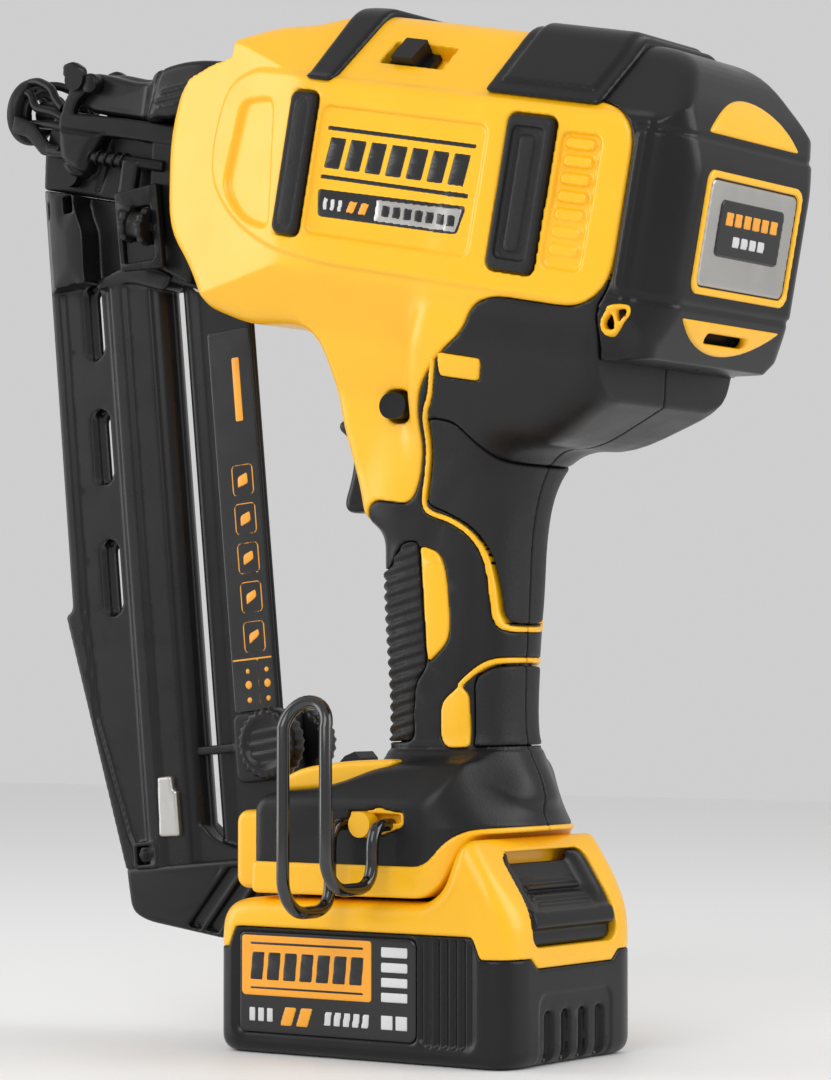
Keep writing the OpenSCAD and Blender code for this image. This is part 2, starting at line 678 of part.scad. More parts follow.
module flywheel() color(steel) in_tool() {
    difference() {
        pin_y(motor_u, motor_w, 2 * flywheel_r, [-11, 11]);
        pin_y(motor_u, motor_w, 51, [-20, 8]);
    }
    pin_y(motor_u, motor_w, shaft_d, [-27, 27]);
}
module motor_bearings() color(silver) in_tool() both_sides() difference() {
    pin_y(motor_u, motor_w, 22, [-26.8, -20]);
    pin_y(motor_u, motor_w, shaft_d + 2 * fit, [-40, 40]);
}
module pinch_arm() color(dark_steel) in_tool() {
    both_sides() difference() {
        slab(-10.5, -8) polygon([[58, 16], [60, 5.5], [68, 5.5], [84, 10], [94, 12], [93, 28], [88, 34], [82, 32], [80, 20]]);
        pin_y(arm_u, arm_w, 5 + 2 * fit, [-40, 40]);
    }
    pin_y(motor_u, roller_w, 4, [-8, 8]);
    block([82, 88], [-8.5, 8.5], [28, 32]);
}
module pinch_roller() color(steel) in_tool() difference() {
    pin_y(motor_u, roller_w, 2 * roller_r, [-6, 6]);
    pin_y(motor_u, roller_w, 4 + 2 * fit, [-40, 40]);
}
module solenoid() color(copper) in_tool() difference() {
    union() {
        rod_x([22, 60], 0, 28.5, 20);
        pin_y(arm_u, arm_w, 5, [-24.9, -10.6]);
    }
    rod_x([30, 70], 0, 28.5, 8 + 2 * fit);
}
module solenoid_plunger() color(steel) in_tool() rod_x([44, 79], 0, 28.5, 8);

housing_left();
housing_right();
grip_left();
grip_right();
foot_base();
rear_cap();
cap_trim();
rear_badge();
top_bumpers();
side_bumpers();
housing_screws();
trigger();
trigger_pin();
trigger_spring();
trigger_switch();
lock_off_button();
stall_lever();
nosepiece();
jam_door();
door_pin();
nose_bolts();
contact_trip();
no_mar_pad();
trip_springs();
depth_wheel();
depth_screw();
magazine_left();
magazine_right();
magazine_base();
magazine_bracket();
magazine_screws();
magazine_label();
pusher();
pusher_knobs();
roll_spring();
nail_strip();
belt_hook();
hook_screw();
foot_plate();
mode_selector();
headlight_lenses();
terminal_block();
control_board();
battery_lower();
battery_upper();
battery_cells();
battery_latch();
battery_labels();
drive_frame();
guide_rails();
return_springs();
drive_stops();
driver();
motor_stator();
flywheel();
motor_bearings();
pinch_arm();
pinch_roller();
solenoid();
solenoid_plunger();
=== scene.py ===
"""Looks of the cordless finish nailer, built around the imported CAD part.

Lengths are in millimetres until a mesh is made. Two frames are used besides the part's own x, y, z:
the tool frame (u rearward along the drive axis, w up), and the magazine frame (p rearward, q up).
The casings are smooth closed forms: a side outline and a half-width over it give a distance field,
and surface() turns the field into a mesh.
"""

import functools
import math

import bmesh
import bpy
import numpy as np
from mathutils import Matrix, Vector


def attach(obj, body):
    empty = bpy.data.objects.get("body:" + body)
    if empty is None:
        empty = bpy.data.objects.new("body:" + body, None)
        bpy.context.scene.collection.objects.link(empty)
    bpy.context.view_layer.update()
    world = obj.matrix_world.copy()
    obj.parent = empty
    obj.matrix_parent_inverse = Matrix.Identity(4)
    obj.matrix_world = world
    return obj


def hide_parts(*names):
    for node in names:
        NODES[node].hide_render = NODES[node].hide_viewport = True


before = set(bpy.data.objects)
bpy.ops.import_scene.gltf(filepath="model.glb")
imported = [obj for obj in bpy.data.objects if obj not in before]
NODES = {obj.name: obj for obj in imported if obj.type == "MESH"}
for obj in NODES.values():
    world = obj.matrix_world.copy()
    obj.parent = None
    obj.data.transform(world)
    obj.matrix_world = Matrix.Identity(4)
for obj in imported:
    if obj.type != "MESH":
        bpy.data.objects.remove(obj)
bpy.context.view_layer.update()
MM = 0.001
FINE = 0.65

# ---- frames ----
DRIVE_Z = 282.0
TILT = math.radians(11.0)
MAG_X, MAG_Z = 100.0, 160.0
LEAN = math.radians(5.5)


def to_tool(x, z):
    c, s = math.cos(TILT), math.sin(TILT)
    return x * c - (z - DRIVE_Z) * s, x * s + (z - DRIVE_Z) * c


def from_tool(u, w):
    c, s = math.cos(TILT), math.sin(TILT)
    return u * c + w * s, DRIVE_Z - u * s + w * c


def to_mag(x, z):
    c, s = math.cos(LEAN), math.sin(LEAN)
    return (x + MAG_X) * c + (z - MAG_Z) * s, (z - MAG_Z) * c - (x + MAG_X) * s


def from_mag(p, q):
    c, s = math.cos(LEAN), math.sin(LEAN)
    return p * c - q * s - MAG_X, MAG_Z + p * s + q * c


# ---- outlines and fields ----
def arc_corners(points, r=3.0, steps=5):
    """A closed outline with each corner rounded; a third value on a point is its own radius."""
    out = []
    n = len(points)
    for i, point in enumerate(points):
        here = np.array(point[:2], float)
        cut = point[2] if len(point) > 2 else r
        before = np.array(points[i - 1][:2], float) - here
        after = np.array(points[(i + 1) % n][:2], float) - here
        a = here + before * min(cut / np.linalg.norm(before), 0.48)
        b = here + after * min(cut / np.linalg.norm(after), 0.48)
        for t in np.linspace(0, 1, steps):
            out.append((1 - t) ** 2 * a + 2 * t * (1 - t) * here + t * t * b)
    return np.array(out)


def outline(points, a, b, r=3.0):
    """Signed distance from the rounded outline, below zero inside."""
    pts = arc_corners(points, r)
    a, b = np.broadcast_arrays(a, b)
    best = np.full(a.shape, 1e9, np.float32)
    inside = np.zeros(a.shape, bool)
    for (x0, y0), (x1, y1) in zip(pts, np.roll(pts, -1, axis=0)):
        ex, ey = x1 - x0, y1 - y0
        size = ex * ex + ey * ey
        if size < 1e-12:
            continue
        wx, wy = a - x0, b - y0
        t = np.clip((wx * ex + wy * ey) / size, 0, 1)
        best = np.minimum(best, (wx - ex * t) ** 2 + (wy - ey * t) ** 2)
        if y0 != y1:
            inside ^= ((y0 > b) != (y1 > b)) & (a < ex * (b - y0) / ey + x0)
    best = np.sqrt(best)
    return np.where(inside, -best, best).astype(np.float32)


def both(a, b, k=1.0):
    """Smooth intersection, its edge rounded over k."""
    return np.maximum(a, b) + np.maximum(k - np.abs(a - b), 0) ** 2 / (4 * k)


def either(a, b, k=1.0):
    """Smooth union."""
    return -both(-a, -b, k)


def union(*fields):
    return functools.reduce(np.minimum, fields)


def common(*fields):
    return functools.reduce(np.maximum, fields)


def cut(field, *rooms):
    """The field with each of the rooms taken out of it."""
    return common(field, *[-room for room in rooms])


def wave(value, pitch):
    """A ripple between 0 and 1."""
    return 0.5 + 0.5 * np.cos(value * 2 * math.pi / pitch)


def box_field(a, b, low, high, r=0.0):
    """Signed distance from a rectangle with corner radius r."""
    cx, cy = (low[0] + high[0]) / 2, (low[1] + high[1]) / 2
    dx = np.abs(a - cx) - (high[0] - low[0]) / 2 + r
    dy = np.abs(b - cy) - (high[1] - low[1]) / 2 + r
    return np.hypot(np.maximum(dx, 0), np.maximum(dy, 0)) + np.minimum(np.maximum(dx, dy), 0) - r


def step_in(field, edge=0.8):
    """1 inside the field, 0 outside, with a soft edge of that width."""
    t = np.clip(0.5 - field / edge, 0, 1)
    return t * t * (3 - 2 * t)


def soft_curve(value, xs, ys, blur):
    """Piecewise-linear ys over xs, with its corners rounded over about blur."""
    offsets = np.linspace(-1, 1, 7) * blur
    return sum(np.interp(value + o, xs, ys) for o in offsets) / len(offsets)


class Grid:
    """Sample points of a box in the part frame."""

    def __init__(self, low, high, step):
        self.low, self.step = np.array(low, float), step
        counts = [int(math.ceil((h - l) / step)) + 1 for l, h in zip(low, high)]
        self.shape = tuple(counts)
        axes = [low[i] + step * np.arange(counts[i], dtype=np.float32) for i in range(3)]
        self.x = axes[0][:, None, None]
        self.y = axes[1][None, :, None]
        self.z = axes[2][None, None, :]
        self.y_abs = np.abs(self.y)
        self.u, self.w = to_tool(self.x, self.z)
        self.p, self.q = to_mag(self.x, self.z)

    def box(self, plane, low, high, r=0.0):
        """box_field over two of the grid's axes, such as "uw"."""
        return box_field(getattr(self, plane[0]), getattr(self, plane[1]), low, high, r)

    def side(self, plane, points, r=3.0):
        """outline over two of the grid's axes."""
        return outline(points, getattr(self, plane[0]), getattr(self, plane[1]), r)

    def place(self, points):
        return points


class Slanted(Grid):
    """A grid turned into the tool's (u, w) or the magazine's (p, q) own frame."""

    def __init__(self, turn, low, high, step=FINE):
        super().__init__(low, high, step)
        self.turn = turn
        a, b = self.x, self.z
        self.x, self.z = turn(a, b)
        self.u, self.w = (a, b) if turn is from_tool else to_tool(self.x, self.z)
        self.p, self.q = (a, b) if turn is from_mag else to_mag(self.x, self.z)

    def place(self, points):
        x, z = self.turn(points[:, 0], points[:, 2])
        return np.stack([x, points[:, 1], z], 1)


CORNERS = [(i, j, k) for i in (0, 1) for j in (0, 1) for k in (0, 1)]
EDGES = [(a, b) for a in CORNERS for b in CORNERS
         if sum(b) - sum(a) == 1 and all(x <= y for x, y in zip(a, b))]


def surface(name, grid, field):
    """The surface where the field is zero, as a mesh object in metres."""
    f = np.ascontiguousarray(np.broadcast_to(field, np.broadcast_shapes(
        field.shape, grid.shape)), np.float32)
    f = np.pad(f, 1, constant_values=5.0)
    neg = f < 0
    parts = [neg[i:f.shape[0] - 1 + i, j:f.shape[1] - 1 + j, k:f.shape[2] - 1 + k] for i, j, k in CORNERS]
    active = np.logical_or.reduce(parts) & ~np.logical_and.reduce(parts)
    cells = np.argwhere(active)
    ids = np.full(active.shape, -1, np.int32)
    ids[active] = np.arange(len(cells), dtype=np.int32)
    total = np.zeros((len(cells), 3))
    count = np.zeros((len(cells), 1))
    ci, cj, ck = cells.T
    for a, b in EDGES:
        fa = f[ci + a[0], cj + a[1], ck + a[2]]
        fb = f[ci + b[0], cj + b[1], ck + b[2]]
        cross = (fa < 0) != (fb < 0)
        t = np.where(cross, fa / np.where(cross, fa - fb, 1), 0)[:, None]
        total += cross[:, None] * (np.array(a) + t * (np.array(b) - np.array(a)))
        count += cross[:, None]
    verts = grid.place((cells + total / count - 1) * grid.step + grid.low) * MM
    quads = []
    for axis in range(3):
        lo = np.take(neg, np.arange(neg.shape[axis] - 1), axis)
        hi = np.take(neg, np.arange(1, neg.shape[axis]), axis)
        at = np.argwhere(lo != hi)
        o1, o2 = [(1, 2), (2, 0), (0, 1)][axis]
        e1, e2 = np.eye(3, dtype=int)[o1], np.eye(3, dtype=int)[o2]
        at = at[(at[:, o1] > 0) & (at[:, o2] > 0)]
        ring = [ids[tuple((at - d).T)] for d in (e1 + e2, e2, np.zeros(3, int), e1)]
        quad = np.stack(ring, 1)
        flip = ~lo[tuple(at.T)]
        quad[flip] = quad[flip][:, ::-1]
        quads.append(quad)
    quads = np.concatenate(quads)
    mesh = bpy.data.meshes.new(name)
    mesh.vertices.add(len(verts))
    mesh.vertices.foreach_set("co", verts.astype(np.float32).ravel())
    mesh.loops.add(quads.size)
    mesh.loops.foreach_set("vertex_index", quads.ravel())
    mesh.polygons.add(len(quads))
    mesh.polygons.foreach_set("loop_start", np.arange(0, quads.size, 4, dtype=np.int32))
    mesh.update(calc_edges=True)
    mesh.validate()
    obj = bpy.data.objects.new(name, mesh)
    bpy.context.scene.collection.objects.link(obj)
    return obj


def finish_piece(obj, mat, nodes=(), body="tool", keep=0.35):
    """Thins the mesh, shades it smooth, paints it and joins it to its CAD body."""
    if keep < 1:
        modifier = obj.modifiers.new("thin", "DECIMATE")
        modifier.ratio = keep
        graph = bpy.context.evaluated_depsgraph_get()
        mesh = bpy.data.meshes.new_from_object(obj.evaluated_get(graph))
        obj.modifiers.clear()
        obj.data = mesh
        mesh.name = obj.name
    obj.data.shade_smooth()
    paint(obj, mat)
    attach(obj, body)
    if nodes:
        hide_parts(*nodes)
    return obj


def paint(obj, mat):
    obj.data.materials.clear()
    obj.data.materials.append(MATERIALS[mat])


def across(obj, name):
    """A copy of the piece on the tool's other side."""
    mesh = obj.data.copy()
    mesh.transform(Matrix.Scale(-1, 4, (0, 1, 0)))
    mesh.flip_normals()
    twin = bpy.data.objects.new(name, mesh)
    bpy.context.scene.collection.objects.link(twin)
    return twin


def piece(name, grid, field, mat, nodes=(), body="tool"):
    finish_piece(surface(name, grid, field), mat, nodes, body)


def halves(name, grid, field, mat, left_nodes=(), right_nodes=(), body="tool", keep=0.35):
    """A piece of the left side and its mirror image on the right."""
    left = finish_piece(surface(name + "_left", grid, field), mat, left_nodes, body, keep)
    finish_piece(across(left, name + "_right"), mat, right_nodes, body, keep=1)


# ---- materials ----
def material(name, colour, rough, grain=0.0, grain_size=600.0, metal=0.0, coat=0.0, vary=0.06, leather=False,
             brushed=False, transmission=0.0, shine=0.5):
    """A moulded, painted or machined surface: colour and gloss that vary a little, over a fine relief."""
    mat = bpy.data.materials.new(name)
    mat.use_nodes = True
    tree = mat.node_tree
    shader = tree.nodes["Principled BSDF"]
    make, link = tree.nodes.new, tree.links.new
    place = make("ShaderNodeTexCoord").outputs["Object"]

    def noise(scale, detail=3.0, source=None):
        node = make("ShaderNodeTexNoise")
        node.inputs["Scale"].default_value = scale
        node.inputs["Detail"].default_value = detail
        link(source or place, node.inputs["Vector"])
        return node.outputs["Fac"]

    def ramp(value, low, high):
        node = make("ShaderNodeMapRange")
        node.inputs["From Min"].default_value, node.inputs["From Max"].default_value = 0.3, 0.7
        node.inputs["To Min"].default_value, node.inputs["To Max"].default_value = low, high
        link(value, node.inputs["Value"])
        return node.outputs["Result"]

    shade = make("ShaderNodeHueSaturation")
    shade.inputs["Color"].default_value = (*colour, 1)
    link(ramp(noise(35.0), 1 - vary, 1 + vary), shade.inputs["Value"])
    link(shade.outputs["Color"], shader.inputs["Base Color"])
    link(ramp(noise(90.0, 5.0), rough * 0.88, min(rough * 1.14, 1)), shader.inputs["Roughness"])
    shader.inputs["Metallic"].default_value = metal
    shader.inputs["Specular IOR Level"].default_value = shine
    shader.inputs["Coat Weight"].default_value = coat
    shader.inputs["Coat Roughness"].default_value = 0.15
    shader.inputs["Transmission Weight"].default_value = transmission
    if grain > 0:
        bump = make("ShaderNodeBump")
        bump.inputs["Strength"].default_value = grain
        bump.inputs["Distance"].default_value = 0.0002
        if leather:
            cells = make("ShaderNodeTexVoronoi")
            cells.feature = "SMOOTH_F1"
            cells.inputs["Scale"].default_value = grain_size
            link(place, cells.inputs["Vector"])
            link(cells.outputs["Distance"], bump.inputs["Height"])
        elif brushed:
            stretch = make("ShaderNodeMapping")
            stretch.inputs["Scale"].default_value = (1, 0.02, 1)
            link(place, stretch.inputs["Vector"])
            link(noise(grain_size, 4.0, stretch.outputs["Vector"]), bump.inputs["Height"])
        else:
            link(noise(grain_size, 2.0), bump.inputs["Height"])
        link(bump.outputs["Normal"], shader.inputs["Normal"])
    return mat


MATERIALS = {
    "yellow": material("yellow_abs", (0.93, 0.48, 0.004), 0.33, grain=0.10, grain_size=1500, coat=0.15,
                       vary=0.03),
    "rubber": material("rubber_overmould", (0.012, 0.012, 0.013), 0.50, grain=0.45, grain_size=900,
                       leather=True, shine=0.28),
    "black": material("black_nylon", (0.009, 0.009, 0.010), 0.36, grain=0.22, grain_size=1300, shine=0.28),
    "black_smooth": material("black_smooth", (0.008, 0.008, 0.009), 0.30, grain=0.08, grain_size=1500,
                             shine=0.28),
    "dark_steel": material("black_oxide", (0.014, 0.014, 0.015), 0.34, grain=0.15, grain_size=1200,
                           metal=0.6, shine=0.28),
    "wire": material("gloss_wire", (0.006, 0.006, 0.007), 0.16, grain=0.03, grain_size=300, coat=0.6),
    "steel": material("machined_steel", (0.52, 0.52, 0.54), 0.28, grain=0.25, grain_size=700, metal=1.0,
                      brushed=True),
    "silver": material("brushed_badge", (0.46, 0.45, 0.43), 0.34, grain=0.30, grain_size=500, metal=0.85,
                       brushed=True),
    "copper": material("enamel_copper", (0.55, 0.22, 0.08), 0.35, grain=0.2, grain_size=900, metal=0.8),
    "board": material("solder_mask", (0.01, 0.12, 0.04), 0.4, grain=0.2, grain_size=700),
    "cell": material("cell_sleeve", (0.05, 0.16, 0.28), 0.3, grain=0.05),
    "label": material("label_film", (0.010, 0.010, 0.011), 0.25, grain=0.03, grain_size=900),
    "orange": material("orange_print", (0.87, 0.36, 0.02), 0.38, grain=0.03, grain_size=900),
    "white": material("white_print", (0.62, 0.62, 0.63), 0.40, grain=0.03, grain_size=900),
    "lens": material("clear_lens", (0.85, 0.88, 0.9), 0.12, coat=0.5, transmission=0.5),
}

# ---- the casings ----
# Outlines are seen from the tool's left side. A third value is the corner's own radius.
BODY_SIDE = [ (-5, -76, 6), (-2, -86, 3), (10, -113, 3), (34, -113), (46, -92), (62, -76), (105, -61.5, 8),
             (111, -60, 5), (117, -47, 4), (122, -34, 4), (122, 9, 4), (117, 27, 4), (108, 40, 6),
             (98, 43.8, 8), (-19, 44.5, 8), (-34, 38.5, 6), (-46, 37, 6), (-61, 30, 8), (-82, 19.5, 4),
             (-86, -2, 10), (-79, -33, 10), (-65, -44, 7), (-55, -56, 3), (-40, -59, 6), (-12, -56, 10), ]
BELLY_SIDE = [ (24, -100), (46, -116, 8), (57, -88, 10), (66, -81, 10), (81, -80, 10), (105, -61.5, 8),
              (105, -6), (40, -6), (28, -60), ]
YELLOW_SIDE = [ (-120, 80, 0.1), (87, 80, 0.1), (87, 24, 2), (94, 23, 5), (104.3, 18, 9), (104.3, -29, 9),
               (95, -37.5, 9), (63, -37.7, 6), (55, -41.5, 5), (52.2, -50, 4), (41, -60, 8), (32.5, -74, 8),
               (31.5, -100, 4), (28.5, -106, 3), (15, -107, 2), (12.4, -109.5, 1.5), (11, -120, 0.1),
               (-120, -120, 0.1), ]
PANEL_SIDE = [ (-45, 21.5, 6), (-57, 15, 8), (-60, -4, 8), (-57, -17, 9), (-42, -28, 9), (-22, -34.2, 9),
              (0, -36.2, 6), (110, -36.5), (110, 21.5), ]
FRONT_POCKET = [(-47.5, 11, 4), (-33, 13, 4), (-26, -28, 4), (-40, -26, 6), (-50.5, -17, 5)]
LABEL_RECESS = (-10.5, -27.5), (52.5, 12.5)
VENT_RECESS = (79.5, -27), (93.5, 13.5)
FRONT_BUMPER = (-22.5, -29), (-12.5, 16)
REAR_BUMPER = (60, -30), (77, 17)
# The handle and foot, in the part frame, x against z.
HANDLE_SIDE = [ (-9.2, 170, 8), (-9.2, 142, 12), (-7.2, 111, 8), (-7.4, 99, 8), (-11, 90, 6), (-14, 78),
               (46, 78), (45, 86, 8), (38.8, 97, 10), (38, 111, 14), (40, 142, 16), (40.7, 162, 10),
               (44, 178, 10), (52, 195), (40, 215), (12, 215), (-4, 186, 8), ]
FOOT_SIDE = [ (-41, 58.2, 2), (24, 58.2, 6), (28.5, 62, 4), (31.5, 68, 4), (36, 71.4, 4), (47.5, 72.2, 1),
             (48, 73.4, 1), (39, 83.5, 6), (35.5, 93, 8), (0, 91, 8), (-14, 84.5, 8), (-38, 82, 3),
             (-41, 79, 3), ]
# Half-widths over u, over w and over z.
PLAN_CURVE = [-90, -79, -50, -22, -10, 112, 123.5], [25, 28.5, 35.5, 42.6, 43.2, 43.2, 33]
NECK_CURVE = [-118, -96, -76, -57, -38, 20, 44.5, 56], [17, 19.5, 22.5, 30.5, 43.2, 43.2, 20, 9]
BULGE_CURVE = [-118, -92, -80, -68, -54, -36, 0], [16, 19, 28, 35, 40.5, 42.6, 43.2]
HANDLE_CURVE = [78, 98, 150, 200], [15.6, 16, 17.2, 18]
FOOT_CURVE = [55, 78, 84, 92], [37, 37, 33, 25]
VENT_PITCH, VENT_LOWEST, VENT_COUNT = 5.3, -24.0, 7
SEAM = 0.12  # half the gap between two mouldings


class Tool(Grid):
    """A grid with the casing's field over the whole tool, in the pieces' shared form."""

    def __init__(self, low, high, step=FINE):
        super().__init__(low, high, step)
        u, w, x, z = self.u, self.w, self.x, self.z
        plan = soft_curve(u, *PLAN_CURVE, 3.0)
        neck = soft_curve(w, *NECK_CURVE, 2.2)
        bulge = soft_curve(w, *BULGE_CURVE, 3.5)
        raised = 1.5 * step_in(outline(PANEL_SIDE, u, w), 2.2)
        pocket = 2.0 * step_in(outline(FRONT_POCKET, u, w), 2.4)
        label = 1.5 * step_in(box_field(u, w, *LABEL_RECESS, 3), 1.6)
        vent = 1.9 * step_in(box_field(u, w, *VENT_RECESS, 2.5), 1.2) - self.vent_ribs()
        rear_pad = 0.9 * step_in(box_field(u, w, (106, -31), (130, 17), 2.5), 1.6)
        width = np.minimum(plan, neck) + raised - pocket - label - vent + rear_pad
        upper = both(outline(BODY_SIDE, u, w, 4), self.y_abs - width, 4.5)
        belly = both(outline(BELLY_SIDE, u, w, 6), self.y_abs - np.minimum(plan, bulge), 9)
        handle = both(outline(HANDLE_SIDE, x, z, 6), self.y_abs - soft_curve(z, *HANDLE_CURVE, 4), 15)
        foot = both(outline(FOOT_SIDE, x, z, 4), self.y_abs - soft_curve(z, *FOOT_CURVE, 2.5), 4)
        taper = 1.25 + 0.038 * np.clip(z - 72, 0, 25)
        foot = both(foot, np.hypot(np.maximum(x - 18, 0) * taper, self.y_abs) - 36.8, 2)
        self.body = either(either(upper, belly, 3), either(handle, foot, 9), 9)
        self.yellow_side = outline(YELLOW_SIDE, u, w, 3)

    def vent_ribs(self):
        out = 0
        for i in range(VENT_COUNT):
            middle = VENT_LOWEST + VENT_PITCH * i + VENT_PITCH / 2
            out = out + 1.5 * step_in(self.box("uw", (81, middle - 1.7), (91.5, middle + 1.7), 1.4), 0.9)
        return out


def grooved(field, line, depth=0.5, width=0.55):
    """The field with a fine groove pressed in along line = 0."""
    return field + depth * np.exp(-(line / width) ** 2)


def track(points, a, b, width, r=4.0):
    """Distance from a rounded line of that width through the points."""
    pts = [np.array(p[:2], float) for p in points]
    path = [pts[0]]
    for before, here, after in zip(pts, pts[1:], pts[2:]):
        one = here + (before - here) * min(r / np.linalg.norm(before - here), 0.48)
        two = here + (after - here) * min(r / np.linalg.norm(after - here), 0.48)
        path += [(1 - t) ** 2 * one + 2 * t * (1 - t) * here + t * t * two for t in np.linspace(0, 1, 5)]
    path.append(pts[-1])
    best = np.full(np.broadcast_shapes(a.shape, b.shape), 1e9)
    for start, end in zip(path, path[1:]):
        ex, ey = end - start
        wx, wy = a - start[0], b - start[1]
        t = np.clip((wx * ex + wy * ey) / (ex * ex + ey * ey + 1e-9), 0, 1)
        best = np.minimum(best, (wx - ex * t) ** 2 + (wy - ey * t) ** 2)
    return (np.sqrt(best) - width / 2).astype(np.float32)


TRIGGER_ROOM = [(-40, 210), (4, 210), (4, 181), (-3, 168), (-8, 150), (-40, 150)]
TAIL_ROOM = [(-120, 1.4), (-97, 1.4), (-84.8, 2.4), (-82.6, 10), (-78, 16.6), (-68, 21.4), (-58, 24.6),
             (-58, 60), (-120, 60)]


def trigger_room(g):
    return np.maximum(g.side("xz", TRIGGER_ROOM, 0.5), g.y_abs - 7.3)


def build_housing():
    """The two yellow casing halves, open round the nose, the jam lever, the trigger and the magazine."""
    g = Tool((-100, -48, 168), (118, 0, 328))
    bumpers = np.minimum(g.box("uw", *FRONT_BUMPER, 2.5), g.box("uw", *REAR_BUMPER, 2.5))
    lock_hole = g.box("xz", (0.4, 198.4), (11.6, 207.6), 4.4) - 0.6
    nose_room = np.maximum(g.box("uw", (-110, -52), (-77.6, 40), 1), g.y_abs - 19)
    nose_hole = np.maximum(g.box("uw", (-110, -27), (-62, 11), 1), g.y_abs - 13)
    magazine_room = np.maximum(g.box("pq", (12, 40), (43.6, 97.5), 1), g.y_abs - 7.6)
    field = cut(both(g.body, g.yellow_side + SEAM, 0.8), both(bumpers - 0.5, 42.2 - g.y_abs, 0.5),
                trigger_room(g), lock_hole, nose_hole, nose_room, g.side("uw", TAIL_ROOM, 1.5), magazine_room)
    half = both(field, g.y + SEAM, 0.5)
    left = surface("housing_left", g, cut(half, stall_window(g)))
    right = surface("housing_right_whole", g, half)
    finish_piece(left, "yellow", ["housing_left"])
    finish_piece(right, "yellow")
    twin = across(right, "housing_right")
    bpy.data.objects.remove(right)
    finish_piece(twin, "yellow", ["housing_right"], keep=1)


def stall_window(g):
    """The recess of the stall-release lever, on the left slope of the ridge."""
    c, s = math.cos(math.radians(45)), math.sin(math.radians(45))
    out = -(g.y + 31.5) * s + (g.w - 32) * c
    along = (g.y + 31.5) * c + (g.w - 32) * s
    return common(np.abs(g.u - 14) - 12, np.abs(along) - 5.2, np.abs(out) - 6)


LINE_UPPER = [(29, 215), (25, 205), (20.2, 200), (16.8, 189), (13.2, 171.5), (16.5, 169), (22.5, 167.4),
              (29, 163.5), (33.6, 156.5), (35.1, 147), (35.5, 137), (37, 133.4), (41, 132.9), (56, 132.9)]
LINE_LOWER = [(56, 123.7), (35.5, 123.7), (31, 121.4), (24.5, 116)]
TAG = [(31.5, 217.5, 1.5), (47.6, 214.6, 1.5), (45.2, 208, 1.5), (30.4, 210.5, 1.5)]
LOOP = [(24.5, 116, 2), (27.7, 112.8, 2), (28.1, 96.8, 1), (20, 96.2, 3), (17.2, 99, 3), (17.4, 110.5, 3)]
FRONT_INLAY = [(10.2, 159.6, 2), (17.4, 157.4, 3), (19.8, 151, 5), (21, 137.5, 8), (20.5, 129.5, 4),
               (12.5, 122.7, 2)]
FRONT_PAD = [(-30, 152, 1), (-3, 152.2, 2), (3, 160.3, 3), (9.5, 161, 2), (11.8, 122, 2), (7.2, 116.2, 4),
             (6.5, 98.4, 3), (-30, 97.4, 1)]
REAR_PAD = [(17.6, 189, 2), (14.6, 172.5, 3), (24, 168.6, 4), (31, 164.4, 5), (35.5, 156, 5),
            (36.6, 136, 3), (40, 134.5, 1), (70, 134.5, 1), (70, 184, 1), (46, 183.6, 3), (40.9, 185.4, 4),
            (35.3, 191.2, 4), (31, 196.6, 4), (21, 198.5, 3)]
LOW_PAD = [(33, 122, 4), (29.5, 117.5, 3), (29.5, 96.9, 1), (70, 98.6, 1), (70, 122.1, 1)]
HOOK_SLOT = [(-3.5, 72.8), (-3.5, 76.9), (4.5, 77.3), (7.7, 78.4), (10.9, 77.4), (17, 76.8), (17, 72.6),
             (8.8, 69.6), (4.5, 71.6)]
FOLD = [(21, 198.5), (31, 196.8), (35.3, 191.3), (41, 185.4), (47, 183.6), (70, 183.2)]
HANDLE_RING = [(-20, 96), (60, 96.3)]


def build_grip():
    """The black over-moulding: motor bulge, handle and foot, its rubber pads, and the yellow inlays."""
    g = Tool((-52, -48, 50), (122, 0, 288))
    lines = union(track(LINE_UPPER, g.x, g.z, 1.75), track(LINE_LOWER, g.x, g.z, 1.75),
                  g.side("xz", TAG), g.side("xz", LOOP))
    front_inlay = g.side("xz", FRONT_INLAY)
    inlay = np.minimum(lines, front_inlay)
    front, rear, low = (g.side("xz", side) for side in (FRONT_PAD, REAR_PAD, LOW_PAD))
    under_plate = np.maximum(g.box("xz", (-60, 81.5), (-8, 99), 1), g.y_abs - 25.3)
    hook_slot = np.maximum(g.side("xz", HOOK_SLOT, 1), 31 - g.y_abs)
    front_lug = np.maximum(g.box("xz", (-60, 40), (-44, 79), 1), g.y_abs - 60)
    black = both(g.body, -g.yellow_side + SEAM, 0.8)
    shell = cut(np.maximum(black, 58.3 - g.z), cap_side(g) - 0.3, under_plate, hook_slot, trigger_room(g),
                front_lug)
    crease = np.minimum(track(FOLD, g.x, g.z, 0), track(HANDLE_RING, g.x, g.z, 0))
    shell = grooved(shell, crease, 0.45, 0.6)
    inside = g.body + 2.5
    base = cut(shell, np.maximum(inlay - 0.1, -inside), np.maximum(union(front, rear, low) - 0.25, -inside))
    half = g.y + SEAM
    ribs = 0.45 * np.sin((g.z + 1.1 * np.cos(g.y * 0.22) - 0.25 * g.x) * 2 * math.pi / 3.5)
    halves("grip", g, both(base, half, 0.5), "black", ["grip_left"], ["grip_right"])
    inlaid = both(both(g.body - 0.2, inlay, 0.5), np.maximum(half, -g.body - 2.4), 0.3)
    halves("grip_lines", g, inlaid, "yellow")
    for name, skin, pad, edge in (("rear", shell - 0.15, rear, lines), ("low", shell - 0.15, low, lines),
                                  ("front", shell - 0.2 - ribs, front, front_inlay)):
        skin = both(skin, np.maximum(pad, 0.9 - edge), 0.9)
        halves("pad_" + name, g, both(skin, half, 0.4), "rubber")


